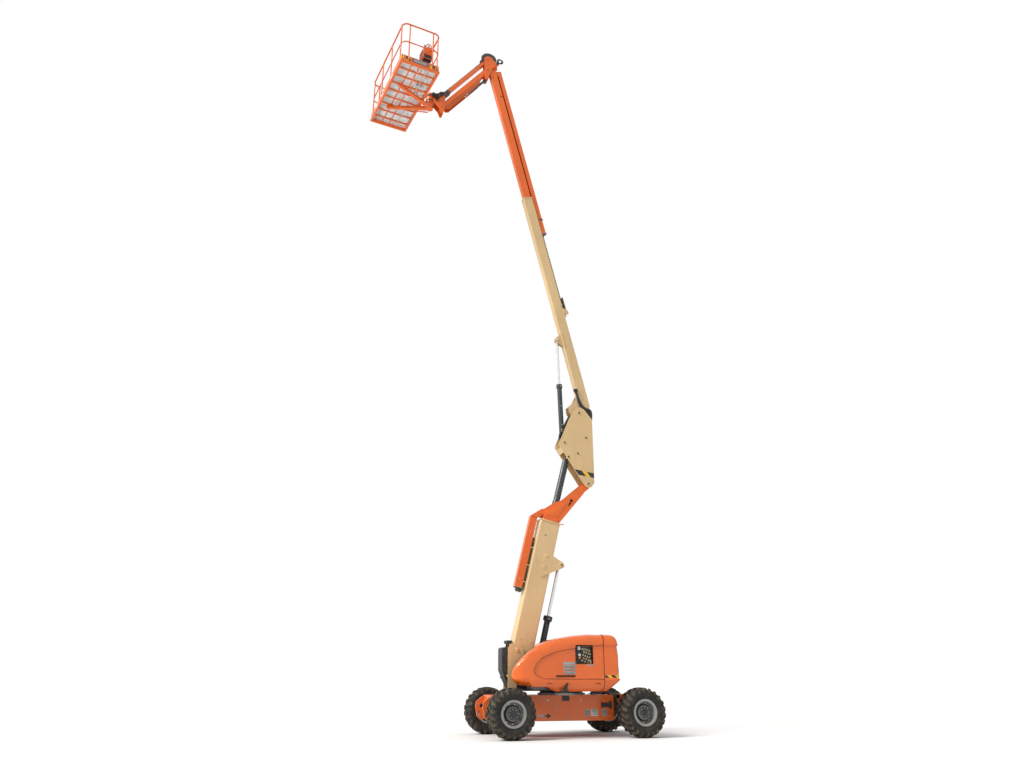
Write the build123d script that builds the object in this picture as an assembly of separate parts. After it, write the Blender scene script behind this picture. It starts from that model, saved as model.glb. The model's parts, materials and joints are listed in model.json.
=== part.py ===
from build123d import *
import math
import os

# Articulating boom lift, in millimetres: a telescopic tower, an upright, a telescopic main boom, a jib and a
# platform on a slewing, four-wheel chassis. +X is forward (the steered end), +Y is left and +Z is up.
# The origin is on the ground under the slew axis.

# Fits
pin_play = 0.1  # radial play of a pin, shaft or rod in its hole
slide_play = 0.5  # gap between a sliding tube and its wear pads
side_play = 2  # gap beside an eye or boss in its fork
clear = 8  # gap between pieces that pass each other

# Wheels
wheelbase = 2440
track = 1740
tyre_radius = 419
tyre_width = 394
rim_radius = 226
seat_radius = 206
rim_wall = 10
hub_radius = 118
spindle_radius = 45
lug_count = 22  # on each side of the tread
lug_length = 60
lug_depth = 26
lug_slant = 24

# Steering
kingpin_y = 640
kingpin_radius = 25
knuckle_height = 200
yoke_thickness = 24

# Chassis
chassis_bottom = 270
chassis_top = 705
chassis_half_width = 400
chassis_half_length = wheelbase / 2 - 340  # the box ends short of the axles
end_rail_bottom = 575
end_rail_inside = 205
end_rail_outside = 300
end_length = wheelbase / 2 + 180
lug_tip = wheelbase / 2 + 360
lug_hole_x = wheelbase / 2 + 255
lug_hole_z = 525
lug_hole_radius = 38
lug_thickness = 32
axle_radius = 75
axle_height = tyre_radius

# Slew ring and turntable
ring_radius = 430
ring_height = 36
ring_gap = 0.4
deck_bottom = 780
deck_thickness = 22
deck_radius = 1140
deck_half_width = 700
deck_rear = 760
deck_front = -1000
bulkhead_y = 312
bulkhead_thickness = 10

# Hoods
hood_half_width = 1000
hood_wall = 8
hood_end = 480
hood_foot = 768
hood_tip_left = -950  # the left hood is the shorter
hood_tip_right = -1250
tyre_reach = -690  # forward of this the hoods pass over a steered tyre as the machine slews,
tyre_pass = 1010  # so they are cut up to here, clear of its top
tail_start = 490
hood_inner_y = 340
recess_depth = 14

# Tower: a telescopic boom that leans forward
tower_pin = (-910, 1480)
tower_angle = 76.4
tower_width = 300
tower_height = 410
tower_wall = 8
tower_axis = -120
tower_top = 2520
tower_pin_radius = 34
tower_fly_width = 240
tower_fly_height = 320
tower_fly_top = 2640
tower_arm_half = 96
tower_arm_wall = 16
tower_tip = (3530, -732)
tip_pin_radius = 28

# Upright between the tower and the main boom
upright_inside = 128
upright_wall = 16
upright_pin_radius = 28

# Main boom: a telescopic boom that leans back
main_pin = (478, 6260)
main_angle = 76.0
main_width = 160
main_height = 220
main_wall = 6
main_axis = 215
main_top = 5292
main_fly_width = 124
main_fly_height = 180
main_fly_top = 8900
main_nose = (9037, 298)

# Jib and its link, below the level of the nose
jib_angle = -51.5
jib_length = 1740
jib_rise = 315
jib_width = 150
jib_height = 120
jib_wall = 6
link_width = 110
link_height = 80
jib_pin_radius = 20

# Platform
rotator_x = -2970
rotator_radius = 78
rotator_bottom = 13640
rotator_top = 13900
platform_turn = 10.93
platform_offset = 650
platform_length = 2244
platform_width = 904
floor_bottom = 13570
floor_depth = 56
rail_height = 1046
rail_radius = 17
post_radius = 15
mid_radius = 13
toe_height = 140
toe_wall = 4


def plate(outline, y_from, y_to):
    """Flat plate: an outline of (x, z) points, between two values of y."""
    edge = Polyline(*[(x, y_from, z) for x, z in outline], close=True)
    return extrude(make_face(edge), amount=y_to - y_from, dir=(0, 1, 0))


def block(x_from, x_to, y_from, y_to, z_from, z_to):
    """Block between two values of x, y and z."""
    size = (x_to - x_from, y_to - y_from, z_to - z_from)
    return Pos((x_from + x_to) / 2, (y_from + y_to) / 2, (z_from + z_to) / 2) * Box(*size)


def bar(x, z, radius, y_from, y_to):
    """Round bar across the machine, between two values of y."""
    return Pos(x, (y_from + y_to) / 2, z) * Rot(90, 0, 0) * Cylinder(radius, y_to - y_from)


def rod(start, end, radius):
    """Round rod between two points in space."""
    run = Vector(*end) - Vector(*start)
    middle = (Vector(*end) + Vector(*start)) / 2
    return Plane(middle, z_dir=run) * Cylinder(radius, run.length)


def mirrored(shape):
    """The same shape on the other side of the machine."""
    return mirror(shape, about=Plane.XZ)


def tube(s_from, s_to, width, height, wall, axis):
    """Box tube along a boom, with rounded corners."""
    outer = Plane.YZ * RectangleRounded(width, height, 3 * wall)
    inner = Plane.YZ * RectangleRounded(width - 2 * wall, height - 2 * wall, 2 * wall)
    return Pos(s_from, 0, axis) * extrude(outer - inner, amount=s_to - s_from)


def collar(s_from, s_to, width, height, lip, play, fly_width, fly_height, fly_wall, axis):
    """Ring at a boom's mouth that the inner tube slides in."""
    outer = Plane.YZ * RectangleRounded(width + 2 * lip, height + 2 * lip, 20)
    inner = Plane.YZ * RectangleRounded(fly_width + 2 * play, fly_height + 2 * play, 3 * fly_wall + play)
    return Pos(s_from, 0, axis) * extrude(outer - inner, amount=s_to - s_from)


def boom_place(pin, angle, lean):
    """Frame of a boom on its pin: X along it and Z to its back. lean is 1 forward and -1 back."""
    if lean > 0:
        return Pos(pin[0], 0, pin[1]) * Rot(0, -angle, 0)
    return Pos(pin[0], 0, pin[1]) * Rot(0, angle, 0) * Rot(0, 0, 180)


def boom_point(pin, angle, lean, s, z):
    """Point (x, z) of the machine that lies s along a boom and z to its back."""
    across, up = math.cos(math.radians(angle)), math.sin(math.radians(angle))
    return pin[0] + lean * (s * across - z * up), pin[1] + s * up + z * across


def ram(base, eye, barrel_radius, rod_radius, barrel_length, eye_half, base_pin, travel_left=0):
    """Barrel and rod of a hydraulic cylinder on the line from its base pin to its rod's eye.

    The rod can still come out by travel_left before its piston meets the gland.
    """
    reach = math.dist(base, eye)
    turn = math.degrees(math.atan2(eye[1] - base[1], eye[0] - base[0]))
    place = Pos(base[0], 0, base[1]) * Rot(0, -turn, 0)
    along = Rot(0, 90, 0)
    bore_radius = barrel_radius - 10
    cap = 20
    gland = 50
    piston = 40
    neck = 2.8 * base_pin
    eye_radius = 1.8 * base_pin
    barrel = Pos((neck + barrel_length) / 2, 0, 0) * along * Cylinder(barrel_radius, barrel_length - neck)
    barrel += Pos(barrel_length - gland / 2, 0, 0) * along * Cylinder(1.15 * barrel_radius, gland)
    barrel += block(0, neck + cap, -eye_half, eye_half, -0.7 * eye_radius, 0.7 * eye_radius)
    barrel += bar(0, 0, eye_radius, -eye_half, eye_half)
    barrel -= bar(0, 0, base_pin + pin_play, -eye_half, eye_half)
    bore_length = barrel_length - gland - neck - cap
    barrel -= Pos(neck + cap + bore_length / 2, 0, 0) * along * Cylinder(bore_radius, bore_length)
    barrel -= Pos(barrel_length - gland / 2, 0, 0) * along * Cylinder(rod_radius + pin_play, gland)
    rod_start = barrel_length - gland - piston - 2 - travel_left
    shaft = Pos((rod_start + reach) / 2, 0, 0) * along * Cylinder(rod_radius, reach - rod_start)
    shaft += Pos(rod_start + piston / 2, 0, 0) * along * Cylinder(bore_radius - 0.3, piston)
    shaft += bar(reach, 0, rod_radius * 1.45, -eye_half, eye_half)
    return place * barrel, place * shaft


def save(name, shape):
    """Write one node's STEP file."""
    export_step(shape, f"parts/{name}.step")


os.makedirs("parts", exist_ok=True)

# ---------------------------------------------------------------------------------------------- wheels and axles


def wheel_profile(points, y):
    """Ring about the wheel's axle from a profile of (radius, offset along the axle) points."""
    edge = Polyline(*[(radius, offset, 0) for radius, offset in points], close=True)
    return Pos(0, y, 0) * revolve(make_face(edge), Axis.Y)


half_tyre = tyre_width / 2
bead = half_tyre - 35
tyre_half_profile = (
    # radius, offset along the axle
    (seat_radius, bead),
    (rim_radius, bead),
    (rim_radius + 4, bead + 14),
    (rim_radius + 60, half_tyre - 4),
    (rim_radius + 110, half_tyre),
    (tyre_radius - 40, half_tyre - 8),
    (tyre_radius - 12, half_tyre - 26),
    (tyre_radius, half_tyre - 52),
)
carcass_half_profile = tyre_half_profile[:4] + (
    (rim_radius + 110, half_tyre - 7),
    (tyre_radius - 46, half_tyre - 17),
    (tyre_radius - lug_depth, half_tyre - 40),
    (tyre_radius - lug_depth + 3, half_tyre - 90),
)


def both_halves(half_profile):
    """A profile with its mirror image across the wheel's middle."""
    return half_profile + tuple((radius, -y) for radius, y in reversed(half_profile))


hub_face = half_tyre - 60
rim_outline = (
    # radius, offset along the axle, outboard positive
    (seat_radius, -bead),
    (rim_radius, -bead),
    (rim_radius, -bead - 12),
    (seat_radius - rim_wall, -bead - 12),
    (seat_radius - rim_wall, 30),
    (hub_radius, 50),
    (spindle_radius + pin_play, 50),
    (spindle_radius + pin_play, hub_face),
    (hub_radius - 20, hub_face),
    (hub_radius, hub_face - 25),
    (hub_radius, 66),
    (seat_radius - rim_wall - 8, 48),
    (seat_radius - rim_wall - 8, bead + 12),
    (rim_radius, bead + 12),
    (rim_radius, bead),
    (seat_radius, bead),
)
# Lugged tread: slanted blocks, half a pitch apart from side to side, cut to the tyre's outer outline
tyre_envelope = wheel_profile(both_halves(tyre_half_profile), 0)
lug_reach = half_tyre * 1.04
lugs = []
for side in (1, -1):
    for turn in range(lug_count):
        around = 360 * (turn + (side > 0) / 2) / lug_count
        place = Rot(0, around, 0) * Pos(0, side * lug_reach / 2, tyre_radius - 30) * Rot(0, 0, side * lug_slant)
        lugs.append(place * Box(lug_length, lug_reach, 90) & tyre_envelope)
tyre_shape = wheel_profile(both_halves(carcass_half_profile), 0) + lugs
rim_shape = wheel_profile(rim_outline, 0)
corners = (
    # name, x, side
    ("drive_left", -wheelbase / 2, 1),
    ("drive_right", -wheelbase / 2, -1),
    ("steer_left", wheelbase / 2, 1),
    ("steer_right", wheelbase / 2, -1),
)
for name, x, side in corners:
    seat = Pos(x, side * track / 2, axle_height) * Rot(0, 0, 0 if side > 0 else 180)
    save(f"{name}_tyre", seat * tyre_shape)
    save(f"{name}_rim", seat * rim_shape)

spindle_end = track / 2 + hub_face
rim_inner = track / 2 - bead - 12
hub_flange_radius = 105
drive_x = -wheelbase / 2
steer_x = wheelbase / 2
drive_axle = bar(drive_x, axle_height, axle_radius, -rim_inner, rim_inner)
drive_axle += bar(drive_x, axle_height, 135, -150, 150)
for side in (1, -1):
    near, far = sorted((side * rim_inner, side * (track / 2 + 30)))
    drive_axle += bar(drive_x, axle_height, hub_flange_radius, near, far)
    near, far = sorted((side * rim_inner, side * spindle_end))
    drive_axle += bar(drive_x, axle_height, spindle_radius, near, far)
    near, far = sorted((side * end_rail_inside, side * end_rail_outside))
    drive_axle += block(drive_x - 70, drive_x + 70, near, far, axle_height, end_rail_bottom)
save("drive_axle", drive_axle)

yoke_top = axle_height + knuckle_height / 2 + side_play
yoke_radius = 58
steer_axle = block(steer_x - 65, steer_x + 65, -kingpin_y + 95, kingpin_y - 95, axle_height - 65, axle_height + 65)
for side in (1, -1):
    kingpin = Pos(steer_x, side * kingpin_y, axle_height)
    for level in (1, -1):
        arm_z = level * (knuckle_height / 2 + side_play + yoke_thickness / 2)
        steer_axle += kingpin * Pos(0, 0, arm_z) * Cylinder(yoke_radius, yoke_thickness)
        near, far = sorted((side * (kingpin_y - 160), side * kingpin_y))
        steer_axle += Pos(0, 0, arm_z) * block(
            steer_x - yoke_radius, steer_x + yoke_radius, near, far,
            axle_height - yoke_thickness / 2, axle_height + yoke_thickness / 2
        )
    steer_axle += kingpin * Cylinder(kingpin_radius, knuckle_height + 2 * side_play + 2 * yoke_thickness)
    near, far = sorted((side * (kingpin_y - 160), side * (kingpin_y - 85)))
    steer_axle += block(
        steer_x - yoke_radius, steer_x + yoke_radius, near, far,
        axle_height - yoke_top + axle_height - yoke_thickness, yoke_top + yoke_thickness
    )
steer_axle += block(steer_x - 60, steer_x + 60, -end_rail_inside + 25, end_rail_inside - 25, axle_height, 620)
steer_axle += Pos(steer_x, 0, 620) * Rot(0, 90, 0) * Cylinder(55, 120)
steer_axle -= Pos(steer_x, 0, 620) * Rot(0, 90, 0) * Cylinder(28 + pin_play, 400)
save("steer_axle", steer_axle)

for name, side in (("left", 1), ("right", -1)):
    seat = Pos(steer_x, side * kingpin_y, axle_height)
    knuckle = seat * Cylinder(62, knuckle_height)
    near, far = sorted((side * (kingpin_y + 30), side * (track / 2 + 30)))
    knuckle += bar(steer_x, axle_height, 90, near, far)
    near, far = sorted((side * kingpin_y, side * spindle_end))
    knuckle += bar(steer_x, axle_height, spindle_radius, near, far)
    knuckle -= seat * Cylinder(kingpin_radius + pin_play, knuckle_height)
    save(f"knuckle_{name}", knuckle)

# ---------------------------------------------------------------------------------------------- chassis

chassis = block(
    -chassis_half_length, chassis_half_length, -chassis_half_width, chassis_half_width, chassis_bottom, chassis_top
)
for end in (1, -1):
    for side in (1, -1):
        x_from, x_to = sorted((end * chassis_half_length, end * end_length))
        y_from, y_to = sorted((side * end_rail_inside, side * end_rail_outside))
        chassis += block(x_from, x_to, y_from, y_to, end_rail_bottom, chassis_top)
    x_from, x_to = sorted((end * (end_length - 40), end * (end_length + 20)))
    chassis += block(x_from, x_to, -end_rail_outside, end_rail_outside, 420, chassis_top)
    for side in (1, -1):
        y_from, y_to = sorted((side * (end_rail_outside - lug_thickness), side * end_rail_outside))
        lug = plate(
            (
                (end * end_length, 290), (end * (lug_tip - 75), 290), (end * (lug_tip - 30), 345),
                (end * lug_tip, 505), (end * (lug_tip - 12), 590), (end * (lug_tip - 110), 670),
                (end * end_length, 700),
            ),
            y_from, y_to,
        )
        lug -= bar(end * lug_hole_x, lug_hole_z, lug_hole_radius, y_from, y_to)
        x_from, x_to = sorted((end * (lug_tip - 82), end * (lug_tip - 52)))
        lug -= block(x_from, x_to, y_from, y_to, 335, 435)
        chassis += lug
# Pivot of the swinging axle: a hanger plate on each side of its trunnion
for end in (-1, 1):
    x_from, x_to = sorted((steer_x + end * 66, steer_x + end * 96))
    chassis += block(x_from, x_to, -end_rail_inside, end_rail_inside, 560, chassis_top)
chassis += Pos(steer_x, 0, 620) * Rot(0, 90, 0) * Cylinder(28, 192)
save("chassis_frame", chassis)

slew_ring = Pos(0, 0, chassis_top + ring_height / 2) * Cylinder(ring_radius, ring_height)
slew_ring -= Pos(0, 0, chassis_top + ring_height / 2) * Cylinder(ring_radius - 110, ring_height)
tooth_count = 72
tooth = Pos(ring_radius + 6, 0, chassis_top + ring_height / 2) * Box(20, 18, ring_height - 10)
slew_ring += [Rot(0, 0, 360 * turn / tooth_count) * tooth for turn in range(tooth_count)]
save("slew_ring", slew_ring)

# ---------------------------------------------------------------------------------------------- turntable

ring_top = chassis_top + ring_height + ring_gap
hinge_y = (bulkhead_y + bulkhead_thickness + hood_inner_y) / 2
hinge_z = 1630
knuckle_radius = (hood_inner_y - bulkhead_y - bulkhead_thickness) / 2 - 0.4
knuckle_length = 50
hinge_pin_radius = 5
hinge_starts = (-140, 120, 380)
deck_top = deck_bottom + deck_thickness
deck_edge = Rectangle(deck_rear - deck_front, 2 * deck_half_width)
deck_shape = Pos((deck_rear + deck_front) / 2, 0, 0) * deck_edge & Circle(deck_radius)
deck = Pos(0, 0, deck_bottom) * extrude(deck_shape, amount=deck_thickness)
deck += Pos(0, 0, (ring_top + deck_bottom) / 2) * Cylinder(ring_radius - 30, deck_bottom - ring_top)
bulkhead_top = hinge_z + knuckle_radius
for side, tip in ((1, hood_tip_left), (-1, hood_tip_right)):
    bulkhead_outline = (
        (tip + 290, deck_top - 5), (tip + 290, 1280), (tip + 490, 1430), (-250, 1600), (-200, bulkhead_top),
        (hood_end - 10, bulkhead_top), (hood_end - 10, deck_top - 5)
    )
    y_from, y_to = sorted((side * bulkhead_y, side * (bulkhead_y + bulkhead_thickness)))
    deck += plate(bulkhead_outline, y_from, y_to)
tower_ram_base = (-500, 1000)
ram_pin_radius = 26
lug_inside = 42
lug_outline = (
    (tower_ram_base[0] - 110, deck_top - 5), (tower_ram_base[0] - 55, tower_ram_base[1] + 30),
    (tower_ram_base[0] - 20, tower_ram_base[1] + 55), (tower_ram_base[0] + 20, tower_ram_base[1] + 55),
    (tower_ram_base[0] + 55, tower_ram_base[1] + 30), (tower_ram_base[0] + 110, deck_top - 5),
)
for side in (1, -1):
    y_from, y_to = sorted((side * lug_inside, side * (lug_inside + 20)))
    deck += plate(lug_outline, y_from, y_to)
deck += bar(*tower_ram_base, ram_pin_radius, -lug_inside - 28, lug_inside + 28)
for side in (1, -1):
    for x in hinge_starts:
        knuckle_place = Pos(x + knuckle_length / 2, side * hinge_y, hinge_z) * Rot(0, 90, 0)
        deck += knuckle_place * Cylinder(knuckle_radius, knuckle_length)
        y_from, y_to = sorted((side * (bulkhead_y + bulkhead_thickness - 2), side * hinge_y))
        deck += block(x, x + knuckle_length, y_from, y_to, hinge_z - knuckle_radius, hinge_z + knuckle_radius)
        deck += Pos(x + knuckle_length, side * hinge_y, hinge_z) * Rot(0, 90, 0) * Cylinder(
            hinge_pin_radius, 2 * knuckle_length)
save("turntable_deck", deck)

foot_inside = tower_width / 2 + side_play
foot_wall = 20
foot_outline = (
    (-1080, deck_top), (-1080, 1520), (-1010, 1600), (-870, 1600), (-790, 1500), (-640, deck_top)
)
tower_feet = None
for side in (1, -1):
    y_from, y_to = sorted((side * foot_inside, side * (foot_inside + foot_wall)))
    foot = plate(foot_outline, y_from, y_to)
    tower_feet = foot if tower_feet is None else tower_feet + foot
tower_feet += bar(*tower_pin, tower_pin_radius, -foot_inside - foot_wall - 10, foot_inside + foot_wall + 10)
save("tower_feet", tower_feet)

weight_outline = (
    (-1190, 1130), (-1190, 1520), (-1175, 1535), (-1060, 1535), (-1060, 1085), (-985, 930), (-985, deck_top),
    (-1000, deck_top), (-1045, 828), (-1112, 950)
)
front_weight = plate(weight_outline, -140, 140)
save("front_weight", front_weight)

engine_block = block(-480, 300, 380, 730, deck_top, 1450)
save("engine_block", engine_block)
hydraulic_tank = block(-800, -200, -730, -400, deck_top, 1330)
save("hydraulic_tank", hydraulic_tank)

# Hoods: a side profile, a cross-section and a plan shape, each pulled in by the wall for the inside


def side_profile(tip, inset):
    """Hood seen from the side, pulled in by an inset; its nose keeps its shape wherever its tip is."""
    foot = hood_foot
    line = Polyline(
        (tip, 1050), (tip + 35, 930), (tip + 170, 862), (tip + 370, foot + 25), (tip + 520, foot), (hood_end, foot),
        (hood_end, 1745)
    )
    top = Line((hood_end, 1745), (210, 1750))
    crown = ThreePointArc((210, 1750), ((tip + 710) / 2, 1690), (tip + 500, 1548))
    nose = ThreePointArc((tip + 500, 1548), (tip + 180, 1330), (tip, 1050))
    return shrink(make_face([line, top, crown, nose]), inset)


def tail_profile(inset):
    """Tail cover seen from the side, pulled in by an inset."""
    line = Polyline(
        (tail_start, hood_foot), (600, hood_foot), (625, 815), (760, 925), (803, 960), (803, 1370), (778, 1560),
        (745, 1680), (700, 1718),
        (600, 1738), (tail_start, 1745), close=True,
    )
    return shrink(make_face(line), inset)


def shrink(face, inset):
    """The outline pulled in by an inset, with its corners kept sharp."""
    return offset(face, -inset, kind=Kind.INTERSECTION) if inset else face


def cross_profile(inset):
    """Hood seen from the end on the left side, pulled in by an inset."""
    w = hood_half_width
    line = Polyline(
        (hood_inner_y, 1760), (w - 110, 1760), (w - 30, 1700), (w - 8, 1560), (w, 1300), (w, 1000), (w - 20, 900),
        (w - 120, hood_foot), (hood_inner_y, hood_foot), close=True,
    )
    return shrink(make_face(line), inset)


def plan_profile(x_from, x_to, nose, inset):
    """Hood seen from above on the left side, with its nose narrowed."""
    w = hood_half_width
    if nose:
        line = Polyline(
            (x_to, hood_inner_y), (x_to, w), (x_from + 420, w), (x_from + 250, w - 22), (x_from + 120, w - 80),
            (x_from + 45, w - 190), (x_from + 50, w - 330), (x_from + 185, hood_inner_y), close=True,
        )
    else:
        line = Polyline(
            (x_from, hood_inner_y), (x_from, w), (x_to - 90, w), (x_to - 10, w - 60), (x_to, w - 140),
            (x_to, hood_inner_y), close=True,
        )
    return shrink(make_face(line), inset)


def hood_solid(side_face, cross_face, plan_face):
    """The solid that has all three outlines, on the left side."""
    by_side = Rot(90, 0, 0) * extrude(side_face, amount=-1200)
    by_cross = Pos(-2000, 0, 0) * extrude(Plane.YZ * cross_face, amount=4000)
    by_plan = extrude(plan_face, amount=2500)
    return by_side & by_cross & by_plan


def hood(tip):
    """Hood of the left side, hollow and open below, with its recess and hinge knuckles."""
    recess_outline = (
        (tip + 435, 1085), (tip + 455, 1190), (tip + 530, 1300), (tip + 710, 1385), (tip + 1020, 1455), (tip + 1270, 1500),
        (290, 1530), (hood_end + 20, 1550), (hood_end + 20, 975), (tip + 570, 985), (tip + 470, 1030),
    )
    outer = hood_solid(side_profile(tip, 0), cross_profile(0), plan_profile(tip, hood_end, True, 0))
    inner = hood_solid(
        side_profile(tip, hood_wall), cross_profile(hood_wall), plan_profile(tip, hood_end, True, hood_wall)
    )
    recess = plate(recess_outline, hood_half_width - recess_depth, hood_half_width + 50)
    recess_inside = plate(recess_outline, hood_half_width - recess_depth - hood_wall, hood_half_width + 50)
    shell = outer - recess - (inner - recess_inside)
    shell -= block(tip + 170, hood_end - hood_wall, hood_inner_y - 5, hood_inner_y + hood_wall + 5, 700, hinge_z - 30)
    shell -= block(tip - 10, tyre_reach, 0, tyre_pass, 700, tyre_radius * 2 + clear)
    shell -= block(tip + 250, hood_end - hood_wall, 0, hood_half_width - 125, 700, deck_top + 45)
    shell -= block(-1020, hood_end + 5, 0, deck_half_width + clear, 700, deck_top + clear)
    for x in hinge_starts:
        knuckle_place = Pos(x + 1.5 * knuckle_length + 1, hinge_y, hinge_z) * Rot(0, 90, 0)
        shell += knuckle_place * Cylinder(knuckle_radius, knuckle_length)
        shell += block(
            x + knuckle_length + 1, x + 2 * knuckle_length + 1, hinge_y, hood_inner_y + 2,
            hinge_z - knuckle_radius, hinge_z + knuckle_radius
        )
        shell -= knuckle_place * Cylinder(hinge_pin_radius + pin_play, knuckle_length)
    return shell


save("hood_left", hood(hood_tip_left))
window = (
    # x from, x to, z from, z to
    -52, 272, 1238, 1552
)
hood_right = mirrored(hood(hood_tip_right)) - block(window[0], window[1], -hood_half_width - 20, -850, window[2], window[3])
save("hood_right", hood_right)

bridge_top = deck_top + 128
tail_outer = hood_solid(tail_profile(0), cross_profile(0), plan_profile(tail_start, 800, False, 0))
tail_inner = hood_solid(
    tail_profile(hood_wall), cross_profile(hood_wall), plan_profile(tail_start, 800, False, hood_wall)
)
tail_cover = tail_outer - tail_inner
tail_cover -= block(tail_start - 5, tail_start + hood_wall + 5, 0, 1100, 0, 2000)
tail_cover -= block(0, 900, 0, 760, 700, deck_top)
tail_cover -= block(0, 900, hood_inner_y + hood_wall + 2, 760, 700, deck_top + 20)
tail_cover -= block(0, 640, 0, hood_inner_y + hood_wall + 12, 700, bridge_top + clear)
save("tail_cover_left", tail_cover)
save("tail_cover_right", mirrored(tail_cover))

weight_inset = hood_wall + 14
weight_half = hood_solid(
    tail_profile(weight_inset), cross_profile(weight_inset), plan_profile(tail_start, 800, False, weight_inset)
)
weight_half &= block(tail_start + 30, 800, 0, 1000, deck_top + 30, 1560)
counterweight = weight_half + mirrored(weight_half)
counterweight += block(tail_start + 30, 620, -560, 560, deck_top, bridge_top)
save("counterweight", counterweight)

panel_y = hood_half_width - 40
control_box = block(window[0] + clear, window[1] - clear, -panel_y, -panel_y + 150, window[2] + clear, window[3] - clear)
control_box += block(80, 140, -panel_y + 140, -660, window[2] + 20, window[2] + 80)
control_box += block(80, 140, -720, -660, deck_top, window[2] + 80)
save("ground_control", control_box)

# ---------------------------------------------------------------------------------------------- tower

tower_place = boom_place(tower_pin, tower_angle, 1)
tower_under = tower_axis - tower_height / 2
tower_back = tower_axis + tower_height / 2
tower_base = tube(-70, tower_top, tower_width, tower_height, tower_wall, tower_axis)
tower_base += collar(
    tower_top, tower_top + 18, tower_width, tower_height, 12, slide_play, tower_fly_width, tower_fly_height,
    tower_wall, tower_axis
)
tower_base += bar(0, 0, 62, -tower_width / 2, tower_width / 2)
tower_base -= bar(0, 0, tower_pin_radius + pin_play, -tower_width / 2, tower_width / 2)
bracket_wall = 18
tower_ram_eye = (1758, -512)
bracket_outline = (
    (1427, -160), (1520, -110), (1900, -150), (1930, -260), (1880, tower_under),
    (1800, -560), (1740, -580), (1700, -545), (1560, tower_under - 20)
)
ear_half = 34
for side in (1, -1):
    y_from, y_to = sorted((side * tower_width / 2, side * (tower_width / 2 + bracket_wall)))
    tower_base += plate(bracket_outline, y_from, y_to)
    y_from, y_to = sorted((side * (ear_half + side_play), side * tower_width / 2))
    tower_base += bar(*tower_ram_eye, 48, y_from, y_to)
save("tower_base", tower_place * tower_base)

carrier_width = 86
tower_carrier = block(1150, 2050, -carrier_width / 2, carrier_width / 2, tower_back, tower_back + 58)
loop_radius = 92
tower_loop = bar(1150, tower_back + loop_radius, loop_radius, -carrier_width / 2, carrier_width / 2)
tower_loop -= bar(1150, tower_back + loop_radius, loop_radius - 58, -carrier_width / 2, carrier_width / 2)
tower_loop -= block(1150, 1400, -100, 100, tower_back, tower_back + 2 * loop_radius)
tower_carrier += tower_loop
tower_carrier += block(
    1150, 1420, -carrier_width / 2, carrier_width / 2, tower_back + 2 * loop_radius - 58, tower_back + 2 * loop_radius
)
save("tower_hose_carrier", tower_place * tower_carrier)

fly_under = tower_axis - tower_fly_height / 2
tower_fly = tube(380, tower_fly_top, tower_fly_width, tower_fly_height, tower_wall, tower_axis)
arm_outline = (
    (2575, -305), (3300, -672), (3461, -790), (3530, -802), (3590, -770), (3600, -700), (3494, -615), (3315, -480),
    (3154, -365), (3036, -262), (2952, -130), (2683, 130), (2640, 150), (2640, 30), (2500, 30), (2500, -262), (2575, -262)
)
for side in (1, -1):
    y_from, y_to = sorted((side * (tower_arm_half - tower_arm_wall), side * tower_arm_half))
    tower_fly += plate(arm_outline, y_from, y_to)
    y_from, y_to = sorted((side * (tower_arm_half - 20), side * tower_fly_width / 2))
    tower_fly += block(tower_fly_top - 60, tower_fly_top, y_from, y_to, fly_under + 6, tower_axis + 154)
flange_outline = ((2560, -296), (3330, -688), (3325, -700), (2560, -310))
tower_fly += plate(flange_outline, -tower_arm_half, tower_arm_half)
# Tapered opening in each arm plate, with a round end
for side in (1, -1):
    y_from, y_to = sorted((side * (tower_arm_half - tower_arm_wall), side * tower_arm_half))
    tower_fly -= bar(3090, -470, 34, y_from, y_to)
    tower_fly -= plate(((3092, -436), (2965, -424), (2960, -446), (3075, -500)), y_from, y_to)
tower_fly += bar(*tower_tip, 66, -upright_inside + side_play, upright_inside - side_play)
tower_fly -= bar(*tower_tip, tip_pin_radius + pin_play, -upright_inside, upright_inside)
tower_fly -= block(2450, tower_fly_top + 5, -74, 74, tower_axis + tower_fly_height / 2 - 15, 60)
level_eye = (2060, -170)
save("tower_fly", tower_place * tower_fly)

channel_half = 60
channel_wall = 8
channel_top = tower_back + 200
channel_bottom = tower_back + 55
tower_channel = block(1130, 2560, -channel_half, channel_half, channel_bottom, channel_top)
tower_channel -= block(1100, 2600, -channel_half + channel_wall, channel_half - channel_wall, 0, channel_top - channel_wall)
bend = plate(
    ((2560, channel_bottom), (2560, channel_top), (2700, 150), (2760, 84), (2760, 57), (2683, 132), (2645, 132),
     (2645, 60), (2600, 60), (2600, channel_bottom)),
    -tower_arm_half + tower_arm_wall, tower_arm_half - tower_arm_wall
)
tower_channel += bend
save("tower_push_tube", tower_place * tower_channel)

tower_eye_world = boom_point(tower_pin, tower_angle, 1, *tower_ram_eye)
barrel, shaft = ram(tower_ram_base, tower_eye_world, 58, 32, 1140, ear_half, ram_pin_radius)
save("tower_cylinder_barrel", barrel)
save("tower_cylinder_rod", shaft)

# ---------------------------------------------------------------------------------------------- upright

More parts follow.
